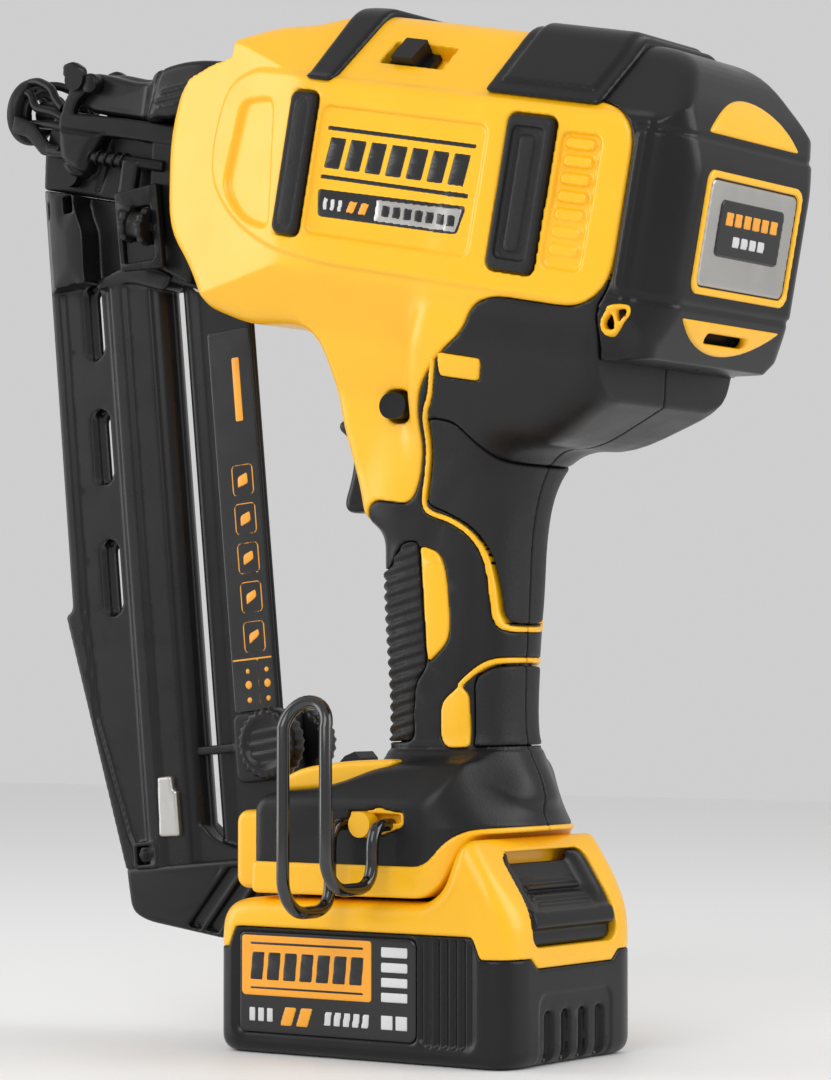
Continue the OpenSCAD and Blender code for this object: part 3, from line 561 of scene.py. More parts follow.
CAP_SIDE = [(87, 90, 0.1), (87, 24, 2), (94, 23, 5), (104.3, 18, 9), (104.3, -30, 5), (100, -38, 3),
            (103, -62, 2), (103, -80, 0.1), (150, -80, 0.1), (150, 90, 0.1)]


def cap_side(g):
    """The rear cap seen from the side: all behind the yellow casing and over its rear shoulder."""
    return g.side("uw", CAP_SIDE)


def overlay(g, shape, proud, depth=1.5, edge=0.6):
    """A skin over the casing inside shape, standing that much proud of it."""
    return both(np.maximum(shape, -g.body - depth), g.body - proud, edge)


def segment(a, b, half, height):
    """A circle segment: its chord of that half-length lies along b = 0, and its arc rises above it."""
    radius = (half ** 2 + height ** 2) / (2 * height)
    return np.maximum(np.hypot(a, b - height + radius) - radius, -b)


def ticks(a, b, first, pitch, count, size, low, high, slant=0.0):
    """A row of plain slanted bars."""
    along = a - slant * (b - low)
    starts = [first + pitch * i for i in range(count)]
    return union(*[box_field(along, b, (start, low), (start + size, high), 0.3) for start in starts])


CAP_VENT = [(101.5, -40.5, 2), (105, -35, 2), (111.5, -33.8, 2), (112, -37.3, 1.5), (105.8, -44.5, 2),
            (102.4, -44.2, 2)]
VENT_HOLES = [(103.4, -42.4, 1), (103, -40.2, 1), (105.4, -37.2, 1), (106.6, -38.7, 1), (106.2, -42, 1)], [
    (107.6, -36.3, 0.8), (110.8, -35.3, 0.8), (110.8, -37, 0.8), (107.9, -40, 0.8)]
WINDOW = (-28.5, -28), (28.5, 9)
WINDOW_INNER = (-26.2, -25.7), (26.2, 6.7)
BADGE = (-19, -16), (19, 1)
REAR_FACE = 110  # u of the plane behind which marks lie on the cap's rear face


def build_cap():
    """The black rear cap, its yellow crescents, vents and window, and the plain badge plate in the window."""
    g = Tool((76, -48, 212), (132, 48, 332))
    vent = np.maximum(g.side("uw", CAP_VENT, 1.5), 34 - g.y_abs)
    lower = np.maximum(segment(g.y, -35.5 - g.w, 29, 10), 100 - g.u)
    slot = g.box("yw", (-12, -42), (12, -38.8), 1.5)
    core = -g.body - 4
    cap = cut(both(g.body, cap_side(g) + SEAM, 0.8), np.maximum(vent + 0.5, core),
              common(slot - 0.6, 100 - g.u, core))
    cap = grooved(cap, np.maximum(np.minimum(np.abs(g.w - 17.6), np.abs(g.w + 31.8)), 105 - g.u), 0.5, 0.7)
    piece("rear_cap_shell", g, cap, "black_smooth", ["rear_cap"])
    upper = np.maximum(segment(g.y, g.w - 19.5, 27, 12), 100 - g.u)
    holes = np.minimum(*[g.side("uw", side, 1) for side in VENT_HOLES])
    window = np.maximum(g.box("yw", *WINDOW, 4), REAR_FACE - g.u)
    inner = g.box("yw", *WINDOW_INNER, 3)
    trim = union(upper, cut(lower, slot), cut(window, inner), cut(vent, holes))
    piece("cap_trim_yellow", g, overlay(g, trim, 0.8, 2, 0.9), "yellow", ["cap_trim"])
    plate = np.maximum(inner + 0.3, REAR_FACE - g.u)
    piece("badge_plate", g, overlay(g, plate, 0.3), "silver", ["rear_badge"])
    g = Tool((112, -22, 226), (130, 22, 268), 0.5)
    badge = np.maximum(g.box("yw", *BADGE, 2), REAR_FACE - g.u)
    piece("badge_label", g, overlay(g, badge, 0.7, 0.8, 0.4), "label")
    for mat, row in (("orange", ticks(g.y, g.w, -15.5, 5.3, 6, 4.2, -6.6, -2.4)),
                     ("white", ticks(g.y, g.w, -9.8, 5.0, 4, 4.0, -12.6, -9.2))):
        piece("badge_marks_" + mat, g, overlay(g, np.maximum(row, REAR_FACE - g.u), 0.95, 0.6, 0.2), mat)


STRIP_SIDE = [(-18.5, 20, 2), (-21.5, 60, 2), (-6.5, 60, 2), (-8.6, 20, 2)]
SADDLE_SIDE = [(47.5, 22.6, 2), (46.6, 60, 2), (85, 60, 2), (90, 41, 4), (89, 22.6, 2)]
BAR_FACE = 46.4  # half the width over the rubber bars


def build_bumpers():
    """The rubber strip and saddle over the ridge, and the two rubber bars on each side."""
    g = Tool((-42, -46, 285), (112, 46, 336))
    strip, saddle = g.side("uw", STRIP_SIDE, 2), g.side("uw", SADDLE_SIDE, 2)
    piece("top_strip", g, overlay(g, strip, 2.4, 1.5, 2.0), "black_smooth", ["top_bumpers"])
    stepped = np.minimum(overlay(g, saddle, 2.2, 1.5, 1.4), overlay(g, saddle + 4.2, 3.6, 0, 1.6))
    piece("top_saddle", g, stepped, "black_smooth")
    g = Tool((-34, -50, 225), (98, -38, 312))
    front = both(g.box("uw", *FRONT_BUMPER, 2.8), g.y_abs - BAR_FACE, 2.2)
    rear = both(g.box("uw", *REAR_BUMPER, 2.8), g.y_abs - BAR_FACE, 2.0)
    rear = cut(rear, both(g.box("uw", (62.6, -26.5), (74.4, 13.5), 2), 44.9 - g.y_abs, 0.6))
    rear = np.minimum(rear, both(g.box("uw", (65.4, -24), (71, 11), 1.5), g.y_abs - 45.9, 0.8))
    front = grooved(front, g.box("uw", (-20.2, -26.7), (-14.8, 13.7), 2), 0.35, 0.5)
    bars = common(np.minimum(front, rear), 40.5 - g.y_abs)
    halves("side_bars", g, bars, "rubber", ["side_bumpers"])


NAME_PLATE = [(-8.3, -13.2, 1.5), (49.1, -12.4, 1.5), (47.3, -21.6, 1.5), (-6.8, -22.1, 1.5)]
NAME_SILVER = [(14.9, -14.0, 0.6), (48.0, -13.4, 1), (46.5, -20.8, 1), (14.9, -21.2, 0.6)]


def build_marks():
    """Plain printed bars and a two-tone plate in the side recess, where a maker would put its name."""
    g = Tool((-14, -45, 250), (58, -38, 312), 0.5)
    rules = [g.box("uw", (-8, low), (49, high), 0.3) for low, high in ((4.9, 6.6), (-10.3, -8.6))]
    bars = ticks(g.u, g.w, -7.4, 7.9, 7, 6.4, -6.9, 3.2, 0.12)
    dark = union(*rules, bars, g.side("uw", NAME_PLATE, 1.5))
    for name, mat, shape, proud in (
            ("dark", "label", dark, 0.18),
            ("silver", "silver", g.side("uw", NAME_SILVER, 1), 0.30),
            ("ticks", "label", ticks(g.u, g.w, 17.6, 4.2, 7, 3.2, -19.3, -15.6), 0.42),
            ("white", "white", ticks(g.u, g.w, -5.4, 2.9, 3, 2.1, -19.8, -15.6), 0.30),
            ("orange", "orange", ticks(g.u, g.w, 3.6, 4.6, 2, 3.6, -19.8, -15.6, 0.3), 0.30)):
        skin = overlay(g, np.maximum(shape, 38.5 - g.y_abs), proud, 1.4, 0.1)
        halves("marks_" + name, g, skin, mat)


SKIRT_SIDE = [(-41.5, 50.4, 2), (24.5, 50.7, 4), (30.0, 55.4, 4), (33.2, 62.6, 4), (37, 70.2, 3),
              (47.4, 70.9, 1), (47.6, 72.6, 1), (36, 71.8, 3), (30.5, 68.5, 4), (24.5, 60.6, 4),
              (-41.5, 60.6, 2)]
PLATE_SIDE = [(-38.8, 81.7, 1.5), (-38.6, 86.4, 2.5), (-31, 89.8, 5), (-14, 92.0, 5), (2, 92.8, 4),
              (6, 92.4, 2), (3, 89), (-8, 83.5)]


def build_foot():
    """The yellow skirt, front lug, hook slot and top plate of the foot."""
    g = Grid((-62, -39, 48), (66, 0, 98), FINE)
    y_abs = g.y_abs
    skirt = both(g.side("xz", SKIRT_SIDE, 3), y_abs - 37.3, 2.2)
    skirt = both(skirt, np.hypot(np.maximum(g.x - 18, 0) * 1.25, y_abs) - 37.3, 1)
    skirt = cut(skirt, np.maximum(g.box("xz", (-38, 40), (90, 57.8), 0.1), y_abs - 24.6))
    lug = both(g.box("xz", (-60.5, 50.4), (-38, 75.6), 4), y_abs - 20.5, 3)
    lug = cut(lug, np.maximum(g.p - 43.6, y_abs - 7.7))
    slot = common(g.side("xz", HOOK_SLOT, 1), y_abs - 35.8, 31.5 - y_abs)
    slot = cut(slot, np.maximum(g.box("xz", (-2.2, 73.4), (15.8, 76.2), 0.8), 33 - y_abs))
    plate = both(g.side("xz", PLATE_SIDE, 2), y_abs - 24.8, 2.4)
    plate = cut(plate, np.maximum(g.box("xz", (-34.3, 70), (-19.7, 99), 0.1), y_abs - 9.2))
    for name, field, nodes in (("skirt", np.minimum(skirt, lug), ["foot_base"]), ("slot", slot, []),
                               ("top_plate", plate, ["foot_plate"])):
        halves("foot_" + name, g, both(field, g.y + 0.05, 0.2), "yellow", nodes)


BATTERY_SIDE = [(-58.5, -20, 0.1), (-58.5, 40, 7), (-54, 46.2, 6), (-45, 48.9, 6), (24.3, 49.5, 3),
                (30.6, 54.0, 4), (33.8, 62.2, 5), (36.4, 67.4, 3), (41, 69.6, 3), (58.5, 43.4, 7),
                (58.5, -20, 0.1)]
LATCH_FACE = (-23.5, 36.6), (23.5, 64.4)
RIB_PANEL = (23.6, 6), (42.6, 39)
LABEL_FACE = (-46.4, 6.3), (22.6, 38.8)
REAR_PANEL = (-20.5, -6), (20.5, 22)
BLADE_SLOTS = (-16, -6, 6, 16)
REAR_SLOTS = (-14.6, -5.0, 4.6, 14.2)


class Battery(Grid):
    """The battery's field, with its seam between the black lower and the yellow upper shell."""

    def __init__(self, low, high, step=FINE):
        super().__init__(low, high, step)
        x, y, z = self.x, self.y, self.z
        plan = box_field(x, y, (-58.5, -37.5), (58.5, 37.5), 12)
        on_side = step_in(33 - self.y_abs, 2)
        relief = (0.3 + 1.0 * wave(x - RIB_PANEL[0][0], 3.15)) * step_in(box_field(x, z, *RIB_PANEL, 3), 0.8)
        relief = relief + 0.8 * step_in(box_field(x, z, *LABEL_FACE, 3), 0.8)
        relief = relief + 0.5 * step_in(box_field(x, z, (-48, 4.6), (44.4, 40.4), 5), 1.4)
        rear = step_in(50 - x, 2)
        panel = 0.9 * step_in(box_field(y, z, *REAR_PANEL, 4), 1.0)
        slots = union(*[box_field(y, z, (s - 2.2, 1.5), (s + 2.2, 16.5), 1.6) for s in REAR_SLOTS])
        plan = plan + relief * on_side + rear * (panel + 3.0 * step_in(slots, 0.8))
        self.shell = both(both(plan, outline(BATTERY_SIDE, x, z, 3), 7), -z, 6)
        seam = 33.2 + 6.6 * step_in(box_field(x, z * 0, (-48.5, -9), (44.5, 9), 1), 4) * on_side
        self.seam = z - (seam - 3.2 * rear * step_in(self.y_abs - 23, 5))
        self.latch = box_field(y, z, *LATCH_FACE, 4)
        self.depth = x + 0.68 * np.clip(z - 43, 0, 30) + 0 * y


def build_battery():
    """The slide-on battery pack, its latch and its plain labels."""
    g = Battery((-60, -39, -1), (61, 39, 72))
    hole = common(g.latch - 0.35, 47.6 - g.depth, 38.0 - g.x)
    rail_room = np.maximum(g.box("xy", (-36, -24), (28, 24), 0.1), 44 - g.z)
    upper = cut(both(g.shell, -g.seam + 0.1, 0.5), hole, rail_room)
    piece("battery_top_shell", g, upper, "yellow", ["battery_upper"], "battery")
    lower = cut(both(g.shell, g.seam + 0.1, 0.5), hole)
    piece("battery_bottom_shell", g, lower, "black_smooth", ["battery_lower"], "battery")
    g = Battery((30, -25, 35), (61, 25, 68), FINE * 0.8)
    scoop = 3.0 * step_in(g.box("yz", (-18.5, 49.2), (18.5, 65), 5), 7)
    steps = 1.3 * wave(g.z - 48.6, 2.6) * step_in(g.box("yz", (-15, 48.6), (15, 56), 1), 1.5)
    lip = 1.2 * step_in(g.box("yz", (-23, 42.2), (23, 47.6), 1.5), 1.5)
    sunk = 1.6 * step_in(g.z - 41.6, 1.2)
    face = g.shell + 0.5 + scoop - steps - lip + sunk
    latch = both(common(g.latch, 51.2 - g.depth, 41.7 - g.x), face, 1.2)
    piece("battery_button", g, latch, "black_smooth", ["battery_latch"], "battery_latch")
    g = Grid((-36, -25, 43), (29, 25, 58), FINE)
    tower = both(g.box("xy", (-34, -23), (26, 23), 2), g.z - 56.4, 1.2)
    tower = cut(tower, *[np.maximum(np.abs(g.y - s) - 1.2, g.x + 8) for s in BLADE_SLOTS])
    rail = np.maximum(np.abs(g.z - 51.5) - 1.4, 21 - g.y_abs)
    piece("battery_rail_block", g, common(cut(tower, rail), 44 - g.z), "black", body="battery")
    build_battery_marks()


def build_battery_marks():
    """The pack's side labels: a dark film, an orange panel and plain bars."""
    g = Grid((-48, -39, 4), (25, -34, 41), 0.5)
    film = g.box("xz", (-45.9, 6.8), (22.2, 38.3), 2.6)
    panel = g.box("xz", (-44.6, 18.4), (5.8, 37.4), 1.2)
    dark = union(g.box("xz", (-41.5, 34.2), (3, 35.3), 0.3), g.box("xz", (-41.5, 20.3), (3, 21.4), 0.3),
                 ticks(g.x, g.z, -41.4, 6.4, 7, 5.2, 23.2, 32.2, 0.1))
    gauge = [g.box("xz", (9.2, 18.6 + 4.6 * i), (19.4, 21.8 + 4.6 * i), 0.6) for i in range(4)]
    white = union(*gauge, ticks(g.x, g.z, -41.6, 3.4, 3, 2.4, 10.2, 14.6),
                  ticks(g.x, g.z, -12.6, 3.6, 5, 2.6, 10.2, 14.6, 0.15),
                  ticks(g.x, g.z, 9.2, 5.4, 2, 4.6, 10.2, 14.8))
    chevron = ticks(g.x, g.z, -29.6, 6.2, 2, 4.6, 9.4, 15.4, 0.35)
    for name, mat, shape, face, nodes in (
            ("film", "label", film, 37.0, ["battery_labels"]), ("panel", "orange", panel, 37.15, []),
            ("marks", "label", dark, 37.28, []), ("white", "white", white, 37.15, []),
            ("chevron", "orange", chevron, 37.15, [])):
        skin = common(shape, g.y_abs - face, 35.2 - g.y_abs)
        halves("battery_" + name, g, skin, mat, nodes, body="battery")


HOOK_PATH = [(-5, -34, 73), (-5, -40.6, 73), (-5, -44, 69.5), (-5, -44, 50.5), (-5, -48.5, 46.6),
             (-5, -61.5, 46.6), (-5, -68, 53), (-5, -68, 96)]
HOOK_END = [(11, -68, 96), (11, -68, 60.5), (11, -62, 54), (11, -48, 54), (11, -44, 58.5), (11, -44, 69.5),
            (11, -40.6, 73), (11, -34, 73)]
HOOK_CORNER, WIRE_RADIUS = 4.5, 2.0


def smooth_path(points, r, steps=7):
    """The path with every corner rounded."""
    pts = [Vector(p) for p in points]
    out = [pts[0]]
    for before, here, after in zip(pts, pts[1:], pts[2:]):
        one = here + (before - here) * min(r / (before - here).length, 0.49)
        two = here + (after - here) * min(r / (after - here).length, 0.49)
        out += [one.lerp(here, t).lerp(here.lerp(two, t), t) for t in np.linspace(0, 1, steps)]
    return out + [pts[-1]]


def tube(name, path, radius, sides=8):
    """A round bar along the path, in millimetres, as a mesh object."""
    curve = bpy.data.curves.new(name, "CURVE")
    curve.dimensions, curve.use_fill_caps = "3D", True
    curve.bevel_depth, curve.bevel_resolution = radius * MM, sides
    spline = curve.splines.new("POLY")
    spline.points.add(len(path) - 1)
    for point, place in zip(spline.points, path):
        point.co = (*(Vector(place) * MM), 1)
    holder = bpy.data.objects.new(name + "_path", curve)
    bpy.context.scene.collection.objects.link(holder)
    mesh = bpy.data.meshes.new_from_object(holder.evaluated_get(bpy.context.evaluated_depsgraph_get()))
    bpy.data.objects.remove(holder)
    obj = bpy.data.objects.new(name, mesh)
    bpy.context.scene.collection.objects.link(obj)
    return obj


def build_hook():
    """The belt hook: one bent wire with an arch at its top."""
    arch = [(3 - 8 * math.cos(a), -68 + 3 * math.sin(a), 103 + 8 * math.sin(a))
            for a in np.linspace(0, math.pi, 17)]
    path = smooth_path(HOOK_PATH, HOOK_CORNER)[:-1] + [Vector(p) for p in arch]
    path = path + smooth_path(HOOK_END, HOOK_CORNER)[1:]
    finish_piece(tube("belt_hook_wire", path, WIRE_RADIUS), "wire", ["belt_hook"], keep=1)


MAG_SIDE = [(-40.5, 146, 2), (-43.2, 131, 3), (-43.7, -14.8, 1.5), (-46.8, -16.8, 1.2), (-28.2, -104.5, 2),
            (-10, -104.5, 2), (-10, 146, 2)]
WING_SIDE = [(-47.5, -15), (-38.6, -15), (-36.4, -52), (-25.5, -93), (-20, -105), (-30, -105)]
MAG_WINDOWS = [81.6, 38.8, -5.7]
CHANNEL_CURVE = ([-18.6, -17.4, -15.2, -9.6, -9.0, 0.9, 1.6, 3.4, 4.9, 5.8],
                 [5.2, 6.4, 8.6, 8.6, 7.6, 7.6, 6.6, 5.6, 3.6, 1.5])
FLANGE_SIDE = [(-20.5, 91.5, 1), (-19.5, 95, 1), (-9, 97.5, 2), (2, 97, 2), (12.5, 91.5, 1), (9, 86.5, 2),
               (-6, 92, 4)]
NECK_RIM = [(-60, 160), (-60, 90), (-20.6, 90), (-21.6, 97.3, 2), (-21, 112, 3), (-23.2, 117.2, 3),
            (-24, 122.8, 3), (-22, 128.5, 3), (-21.2, 137, 3), (-22, 160)]
MAG_FOOT = [(-26, -103.5), (-26, -107), (37, -107), (37, -103.5), (18, -100), (9, -96), (4, -90), (-2, -90),
            (-18, -103)]
COVER_SIDE = [(-9.3, -74.4, 1), (-3.4, -74.4, 1), (-3.0, -79, 0.5), (-1.6, -79.6, 0.5), (-1.6, -94.5, 1),
              (-10.2, -94.1, 1)]
BASE_SIDE = [(-26.2, -103.5, 1), (-25.2, -118, 4), (-19, -121.6, 4), (14, -129.4, 3), (24, -122, 2),
             (31, -113.5, 2), (43, -108, 2), (43, -103.5, 1)]
BASE_FIELD = [(-2, -124), (14, -127.5), (24, -121), (31, -112.5), (40, -106), (14, -106)]
TILE_ROWS = (20.6, 7.7, -5.3, -18.3, -31.4)
BOLT_P, BOLT_Q = -16.9, -99.6
RAIL_HALF = 1.6  # half the thickness of the thin rear rail


def build_magazine():
    """The magazine's two mirrored halves: front plate, ribbed channel, open slot and thin rear rail."""
    g = Slanted(from_mag, (-49, -14, -106), (39, 0, 150))
    y_abs = g.y_abs
    rim = np.minimum(np.abs(g.p + 42) - 3.4, g.side("pq", WING_SIDE, 1))
    side = g.side("pq", MAG_SIDE, 2)
    body = both(side, y_abs - (5.0 + 1.0 * step_in(rim, 0.9)), 0.8)
    channel = both(g.box("pq", (-19, -104.5), (5.8, 95.5), 1), y_abs - soft_curve(g.p, *CHANNEL_CURVE, 0.25),
                   0.5)
    flange = both(g.side("pq", FLANGE_SIDE), y_abs - 9.6, 1.2)
    neck = both(g.box("pq", (-22, 94), (14, 160), 2), y_abs - 4.2, 1.0)
    neck_rim = np.maximum(g.side("pq", NECK_RIM, 2), 94 - g.q)
    neck = np.minimum(neck, both(neck_rim, side + np.maximum(y_abs - 5.4, 0), 0.5))
    bead = both(np.hypot(g.p - 13.6, y_abs) - 3.0, g.box("pq", (8, -104.5), (20, 110), 1), 0.8)
    rail = both(g.box("pq", (12, -104.5), (37.6, 110), 1), y_abs - RAIL_HALF, 0.6)
    foot = both(g.side("pq", MAG_FOOT, 3), y_abs - 5.2, 1)
    body = union(body, channel, flange, neck, rail, either(bead, rail, 1.5), foot)
    for q in MAG_WINDOWS:
        window = g.box("pq", (-31.3, q - 13.75), (-21.3, q + 13.75), 4.9)
        body = cut(body, both(window + 0.9 * step_in(4.4 - y_abs, 0.8), y_abs - 20, 0.1))
    for p in (-36.8, -26.5):
        body = cut(body, np.maximum(g.box("pq", (p - 2.1, 118.6), (p + 2.1, 124.6), 0.5), 2.5 - y_abs))
    nut_box = g.box("pq", (-21.2, -103.5), (-12.6, -96), 0.6)
    body = np.minimum(body, np.maximum(np.abs(nut_box) - 0.7, np.abs(y_abs - 6) - 3.2))
    hollow = np.maximum(g.box("pq", (-31.2, -100), (3.2, 200), 1), y_abs - 1.7)
    body = both(common(cut(body, hollow), g.w + 26.2), g.y + 0.05, 0.2)
    halves("magazine_shell", g, body, "black_smooth", ["magazine_left"], ["magazine_right"], keep=0.3)
    g = Slanted(from_mag, (-24, -11, -105), (4, 11, -72), FINE * 0.8)
    y_abs = g.y_abs
    cover = both(g.side("pq", COVER_SIDE), np.abs(g.y + 8) - 1.4, 0.5)
    piece("magazine_spring_cover", g, cover, "silver")
    dp, dq = g.p - BOLT_P, g.q - BOLT_Q
    hexagon = np.maximum(np.abs(dq) - 2.6, np.abs(dp) * 0.866 + np.abs(dq) * 0.5 - 2.9)
    bolt = np.minimum(both(hexagon, y_abs - 8.9, 0.6), both(np.hypot(dp, dq) - 1.6, y_abs - 9.9, 0.5))
    piece("magazine_bolts", g, common(bolt, 4.5 - y_abs), "dark_steel", ["magazine_screws"])
    g = Slanted(from_mag, (-28, -14, -131), (45, 0, -102))
    base = both(g.side("pq", BASE_SIDE, 2), g.y_abs - 8.8, 2.0)
    ribs = union(*[np.abs((g.p - 18.4 - 9 * i) * 0.7 - (g.q + 103.4) * 0.715) - 1.0 for i in range(-1, 3)])
    sunk = cut(g.side("pq", BASE_FIELD, 1), ribs)
    base = base + 2.2 * step_in(np.maximum(sunk, 6 - g.y_abs), 0.8)
    halves("magazine_end", g, both(base, g.y + 0.05, 0.2), "black_smooth", ["magazine_base"])
    build_sticker()
    build_nails()


def build_sticker():
    """The rail's label: dark film, an orange bar, plain outlined tiles and a divided panel of dots."""
    # The film is thinner than the step, so the grid starts where one of its planes lies inside the film.
    g = Slanted(from_mag, (18, -2.4, -58), (39, -0.8, 73), 0.4)
    film = g.box("pq", (19.5, -56), (37, 71), 1.0)
    marks = [np.abs(g.box("pq", (25.8, q - 5.0), (34.2, q + 5.0), 1.4)) - 0.3 for q in TILE_ROWS]
    for i, q in enumerate(TILE_ROWS):
        glyph = [(27.6, q - 2.6), (32.2, q - 1.4 + 0.4 * i), (32.0, q + 2.6), (27.9, q + 1.2)]
        marks.append(g.side("pq", glyph, 0.8))
    marks += [g.box("pq", (28.8, 40), (32.2, 61.6), 0.3), g.box("pq", (20, -39), (36.6, -38.2), 0.1),
              g.box("pq", (30.2, -54), (30.7, -38.5), 0.1)]
    marks += [np.hypot(g.p - p, g.q - q) - r for p in (26.2, 34)
              for q, r in ((-42.5, 1.0), (-47, 1.5), (-52, 1.1))]
    for name, mat, shape, face, nodes in (("film", "label", film, 1.75, ["magazine_label"]),
                                          ("marks", "orange", union(*marks), 1.95, [])):
        piece("rail_" + name, g, common(shape, -g.y - face, g.y + 1.45), mat, nodes)


NAIL_PITCH, NAIL_RADIUS, NAIL_COUNT = 1.66, 0.76, 14


def build_nails():
    """A few short nails, side by side on the follower, with their heads to the rear."""
    g = Slanted(from_mag, (-21, -2, -14), (5, 2, 22), 0.4)
    lane = g.q - math.tan(LEAN + TILT) * (2.6 - g.p) + 12.0
    index = np.clip(np.round(lane / NAIL_PITCH), 0, NAIL_COUNT - 1)
    off = (lane - NAIL_PITCH * index) * math.cos(LEAN + TILT)
    nail = both(np.hypot(off, g.y) - NAIL_RADIUS, np.abs(g.p + 8.3) - 10.9, 0.2)
    piece("short_nails", g, nail, "steel", ["nail_strip"], "pusher")


KNOB_P, KNOB_Q = 38.9, -67.2


def build_pusher():
    """The pusher: a follower in the channel, a slider on the rear rail and its round ribbed knobs."""
    g = Slanted(from_mag, (2, -14, -82), (52, 14, -52))
    y_abs = g.y_abs
    body = both(g.box("pq", (20, -79), (43.2, -56), 3), y_abs - 4.6, 1.5)
    body = cut(body, np.maximum(g.p - 38.2, y_abs - 2.1))
    body = np.minimum(body, both(np.abs(g.q + 67) - 1.5, np.maximum(np.abs(g.p - 13) - 11, y_abs - 4.2), 0.6))
    body = cut(body, np.maximum(np.abs(g.p - 24) - 14.0, y_abs - np.where(g.p < 17.5, 3.3, 2.1)))
    piece("pusher_slider", g, body, "black", ["pusher"], "pusher")
    from_axis = np.hypot(g.p - KNOB_P, g.q - KNOB_Q)
    knob = both(from_axis - 11.4, np.abs(y_abs - 8.6) - 3.9, 3.0)
    knob = knob + 1.5 * step_in(np.maximum(from_axis - 7.6, 8.6 - y_abs), 2.4)
    face = step_in(np.maximum(from_axis - 6.8, 8.6 - y_abs), 1.0)
    knob = knob - 0.9 * wave(g.q - KNOB_Q, 3.6) * face
    round_knob = np.arctan2(g.q - KNOB_Q, g.p - KNOB_P)
    spokes = 0.5 * step_in(10.2 - from_axis, 0.8) * (0.5 + 0.5 * np.cos(24 * round_knob))
    piece("pusher_grips", g, common(knob - spokes, 4.7 - y_abs), "black_smooth", ["pusher_knobs"], "pusher")
    g = Slanted(from_mag, (-20, -2, -72), (6, 2, 0), FINE)
    follower = g.side("pq", [(-19, -58), (-4, -70), (3, -70), (3, -12.4), (-19, -5.9)], 0.5)
    piece("pusher_blade", g, np.maximum(follower, g.y_abs - 1.0), "dark_steel", body="pusher")


LEVER_SIDE = [(-143, 4.5, 2), (-133.6, 2.2, 1), (-101.8, 1.6, 1), (-97, 3.4, 2), (-91.8, 3.6, 3),
              (-85, 6, 4), (-80, 12, 5), (-71, 18.6, 4), (-64.6, 21.6, 2), (-66, 24.6, 3), (-83, 23.6, 6),
              (-92, 21.8, 5), (-104, 17.2, 5), (-115, 14.2, 4), (-124, 15.0, 3), (-130, 15.6, 3),
              (-137, 15.8, 3), (-143.5, 12, 3)]
HOOK_SIDE = [(-147, 16.8, 1), (-146.3, 13, 1), (-143, 11.8, 1), (-142.2, 8.5, 2), (-144.4, 3, 2),
             (-144.2, -0.5, 1), (-139.6, -0.5, 1), (-138.6, 5, 2), (-134.4, 9.4, 2), (-134.2, 12.6, 1),
             (-137.4, 13.6, 1.5), (-138.4, 16.8, 1), (-143, 18.6, 1.5)]
BOSS_SIDE = [(-144, -4, 1), (-142.8, -10.5, 2), (-141, -15, 2), (-138, -19.2, 3), (-133.4, -20.6, 3),
             (-128.6, -18.6, 2), (-127.8, -13.5, 2), (-123.4, -4, 1)]
CORE_SIDE = [(-152.5, -5), (-153, -15, 1), (-151.2, -26, 1), (-108, -26, 1), (-100, -30, 2), (-92, -50, 2),
             (-78, -51, 1), (-78, -20), (-64.6, -20), (-64.6, 9), (-86, 9), (-88, 1.8), (-151, 1.8, 1)]
WEB_SIDE = [(-104, -1), (-101, -24, 1), (-92, -46, 1), (-78, -50), (-78, -1)]
NOSE_BAR = [(-145, -5.6, 1), (-145, 0.8, 1), (-118, 1.6), (-78, 1.7), (-78, -5.2), (-118, -5.0)]
CREST_SIDE = [(-132, 14), (-126, 12), (-116, 11), (-90, 20), (-70, 23.8), (-66, 25.6), (-84, 25.4),
              (-104, 18.8), (-116, 15.8), (-127, 16.4)]
LEVER_CURVE = [-146, -110, -101, -80, -66], [9.6, 9.6, 19.6, 20.4, 19.0]
PIVOT_U, PIVOT_W = -133.6, 11.8
ARM_SIDE = [(-167, -2, 1), (-158, -4, 1), (-150, -10, 1), (-121, -12), (-121, -15), (-152, -14.4, 1),
            (-160, -9, 1), (-167, -8, 1)]
TRIP_PLATE = [(-113, -23.8, 1), (-95.4, -18.2, 1), (-86.8, -45.6, 1), (-104.9, -49.2, 1)]
TRIP_OPENING = [(-108.6, -29.4, 1), (-96.6, -25.8, 1), (-91, -43, 1), (-103.6, -46.4, 1)]
TRIP_TOP = [(-113, -23.8), (-95.4, -18.2), (-95.9, -20.2), (-112.4, -25.8)]
TRIP_STEM = [(-113, -12), (-113, -26), (-106, -22.6), (-106, -12)]
WHEEL_Y, WHEEL_W = -15.5, -33
WHEEL_SHIFT = 8.6
STRAPS = {
    "upper": [(-168.5, -4, 9.8), (-163.5, -5.5, 10.6), (-156, -7, 8.8), (-151.8, -8.2, 4.8),
              (-147.6, -8.8, 2.4)],
    "middle": [(-168, -7, 5.2), (-164.5, -7.5, 6.2), (-160.8, -8.4, 1.2), (-151, -9, 0.6),
               (-146, -9.2, -0.8)],
    "lower": [(-167.5, -6.5, -5.8), (-161, -8, -4.2), (-151, -9, -3.8), (-146, -9.2, -4.0)],
}


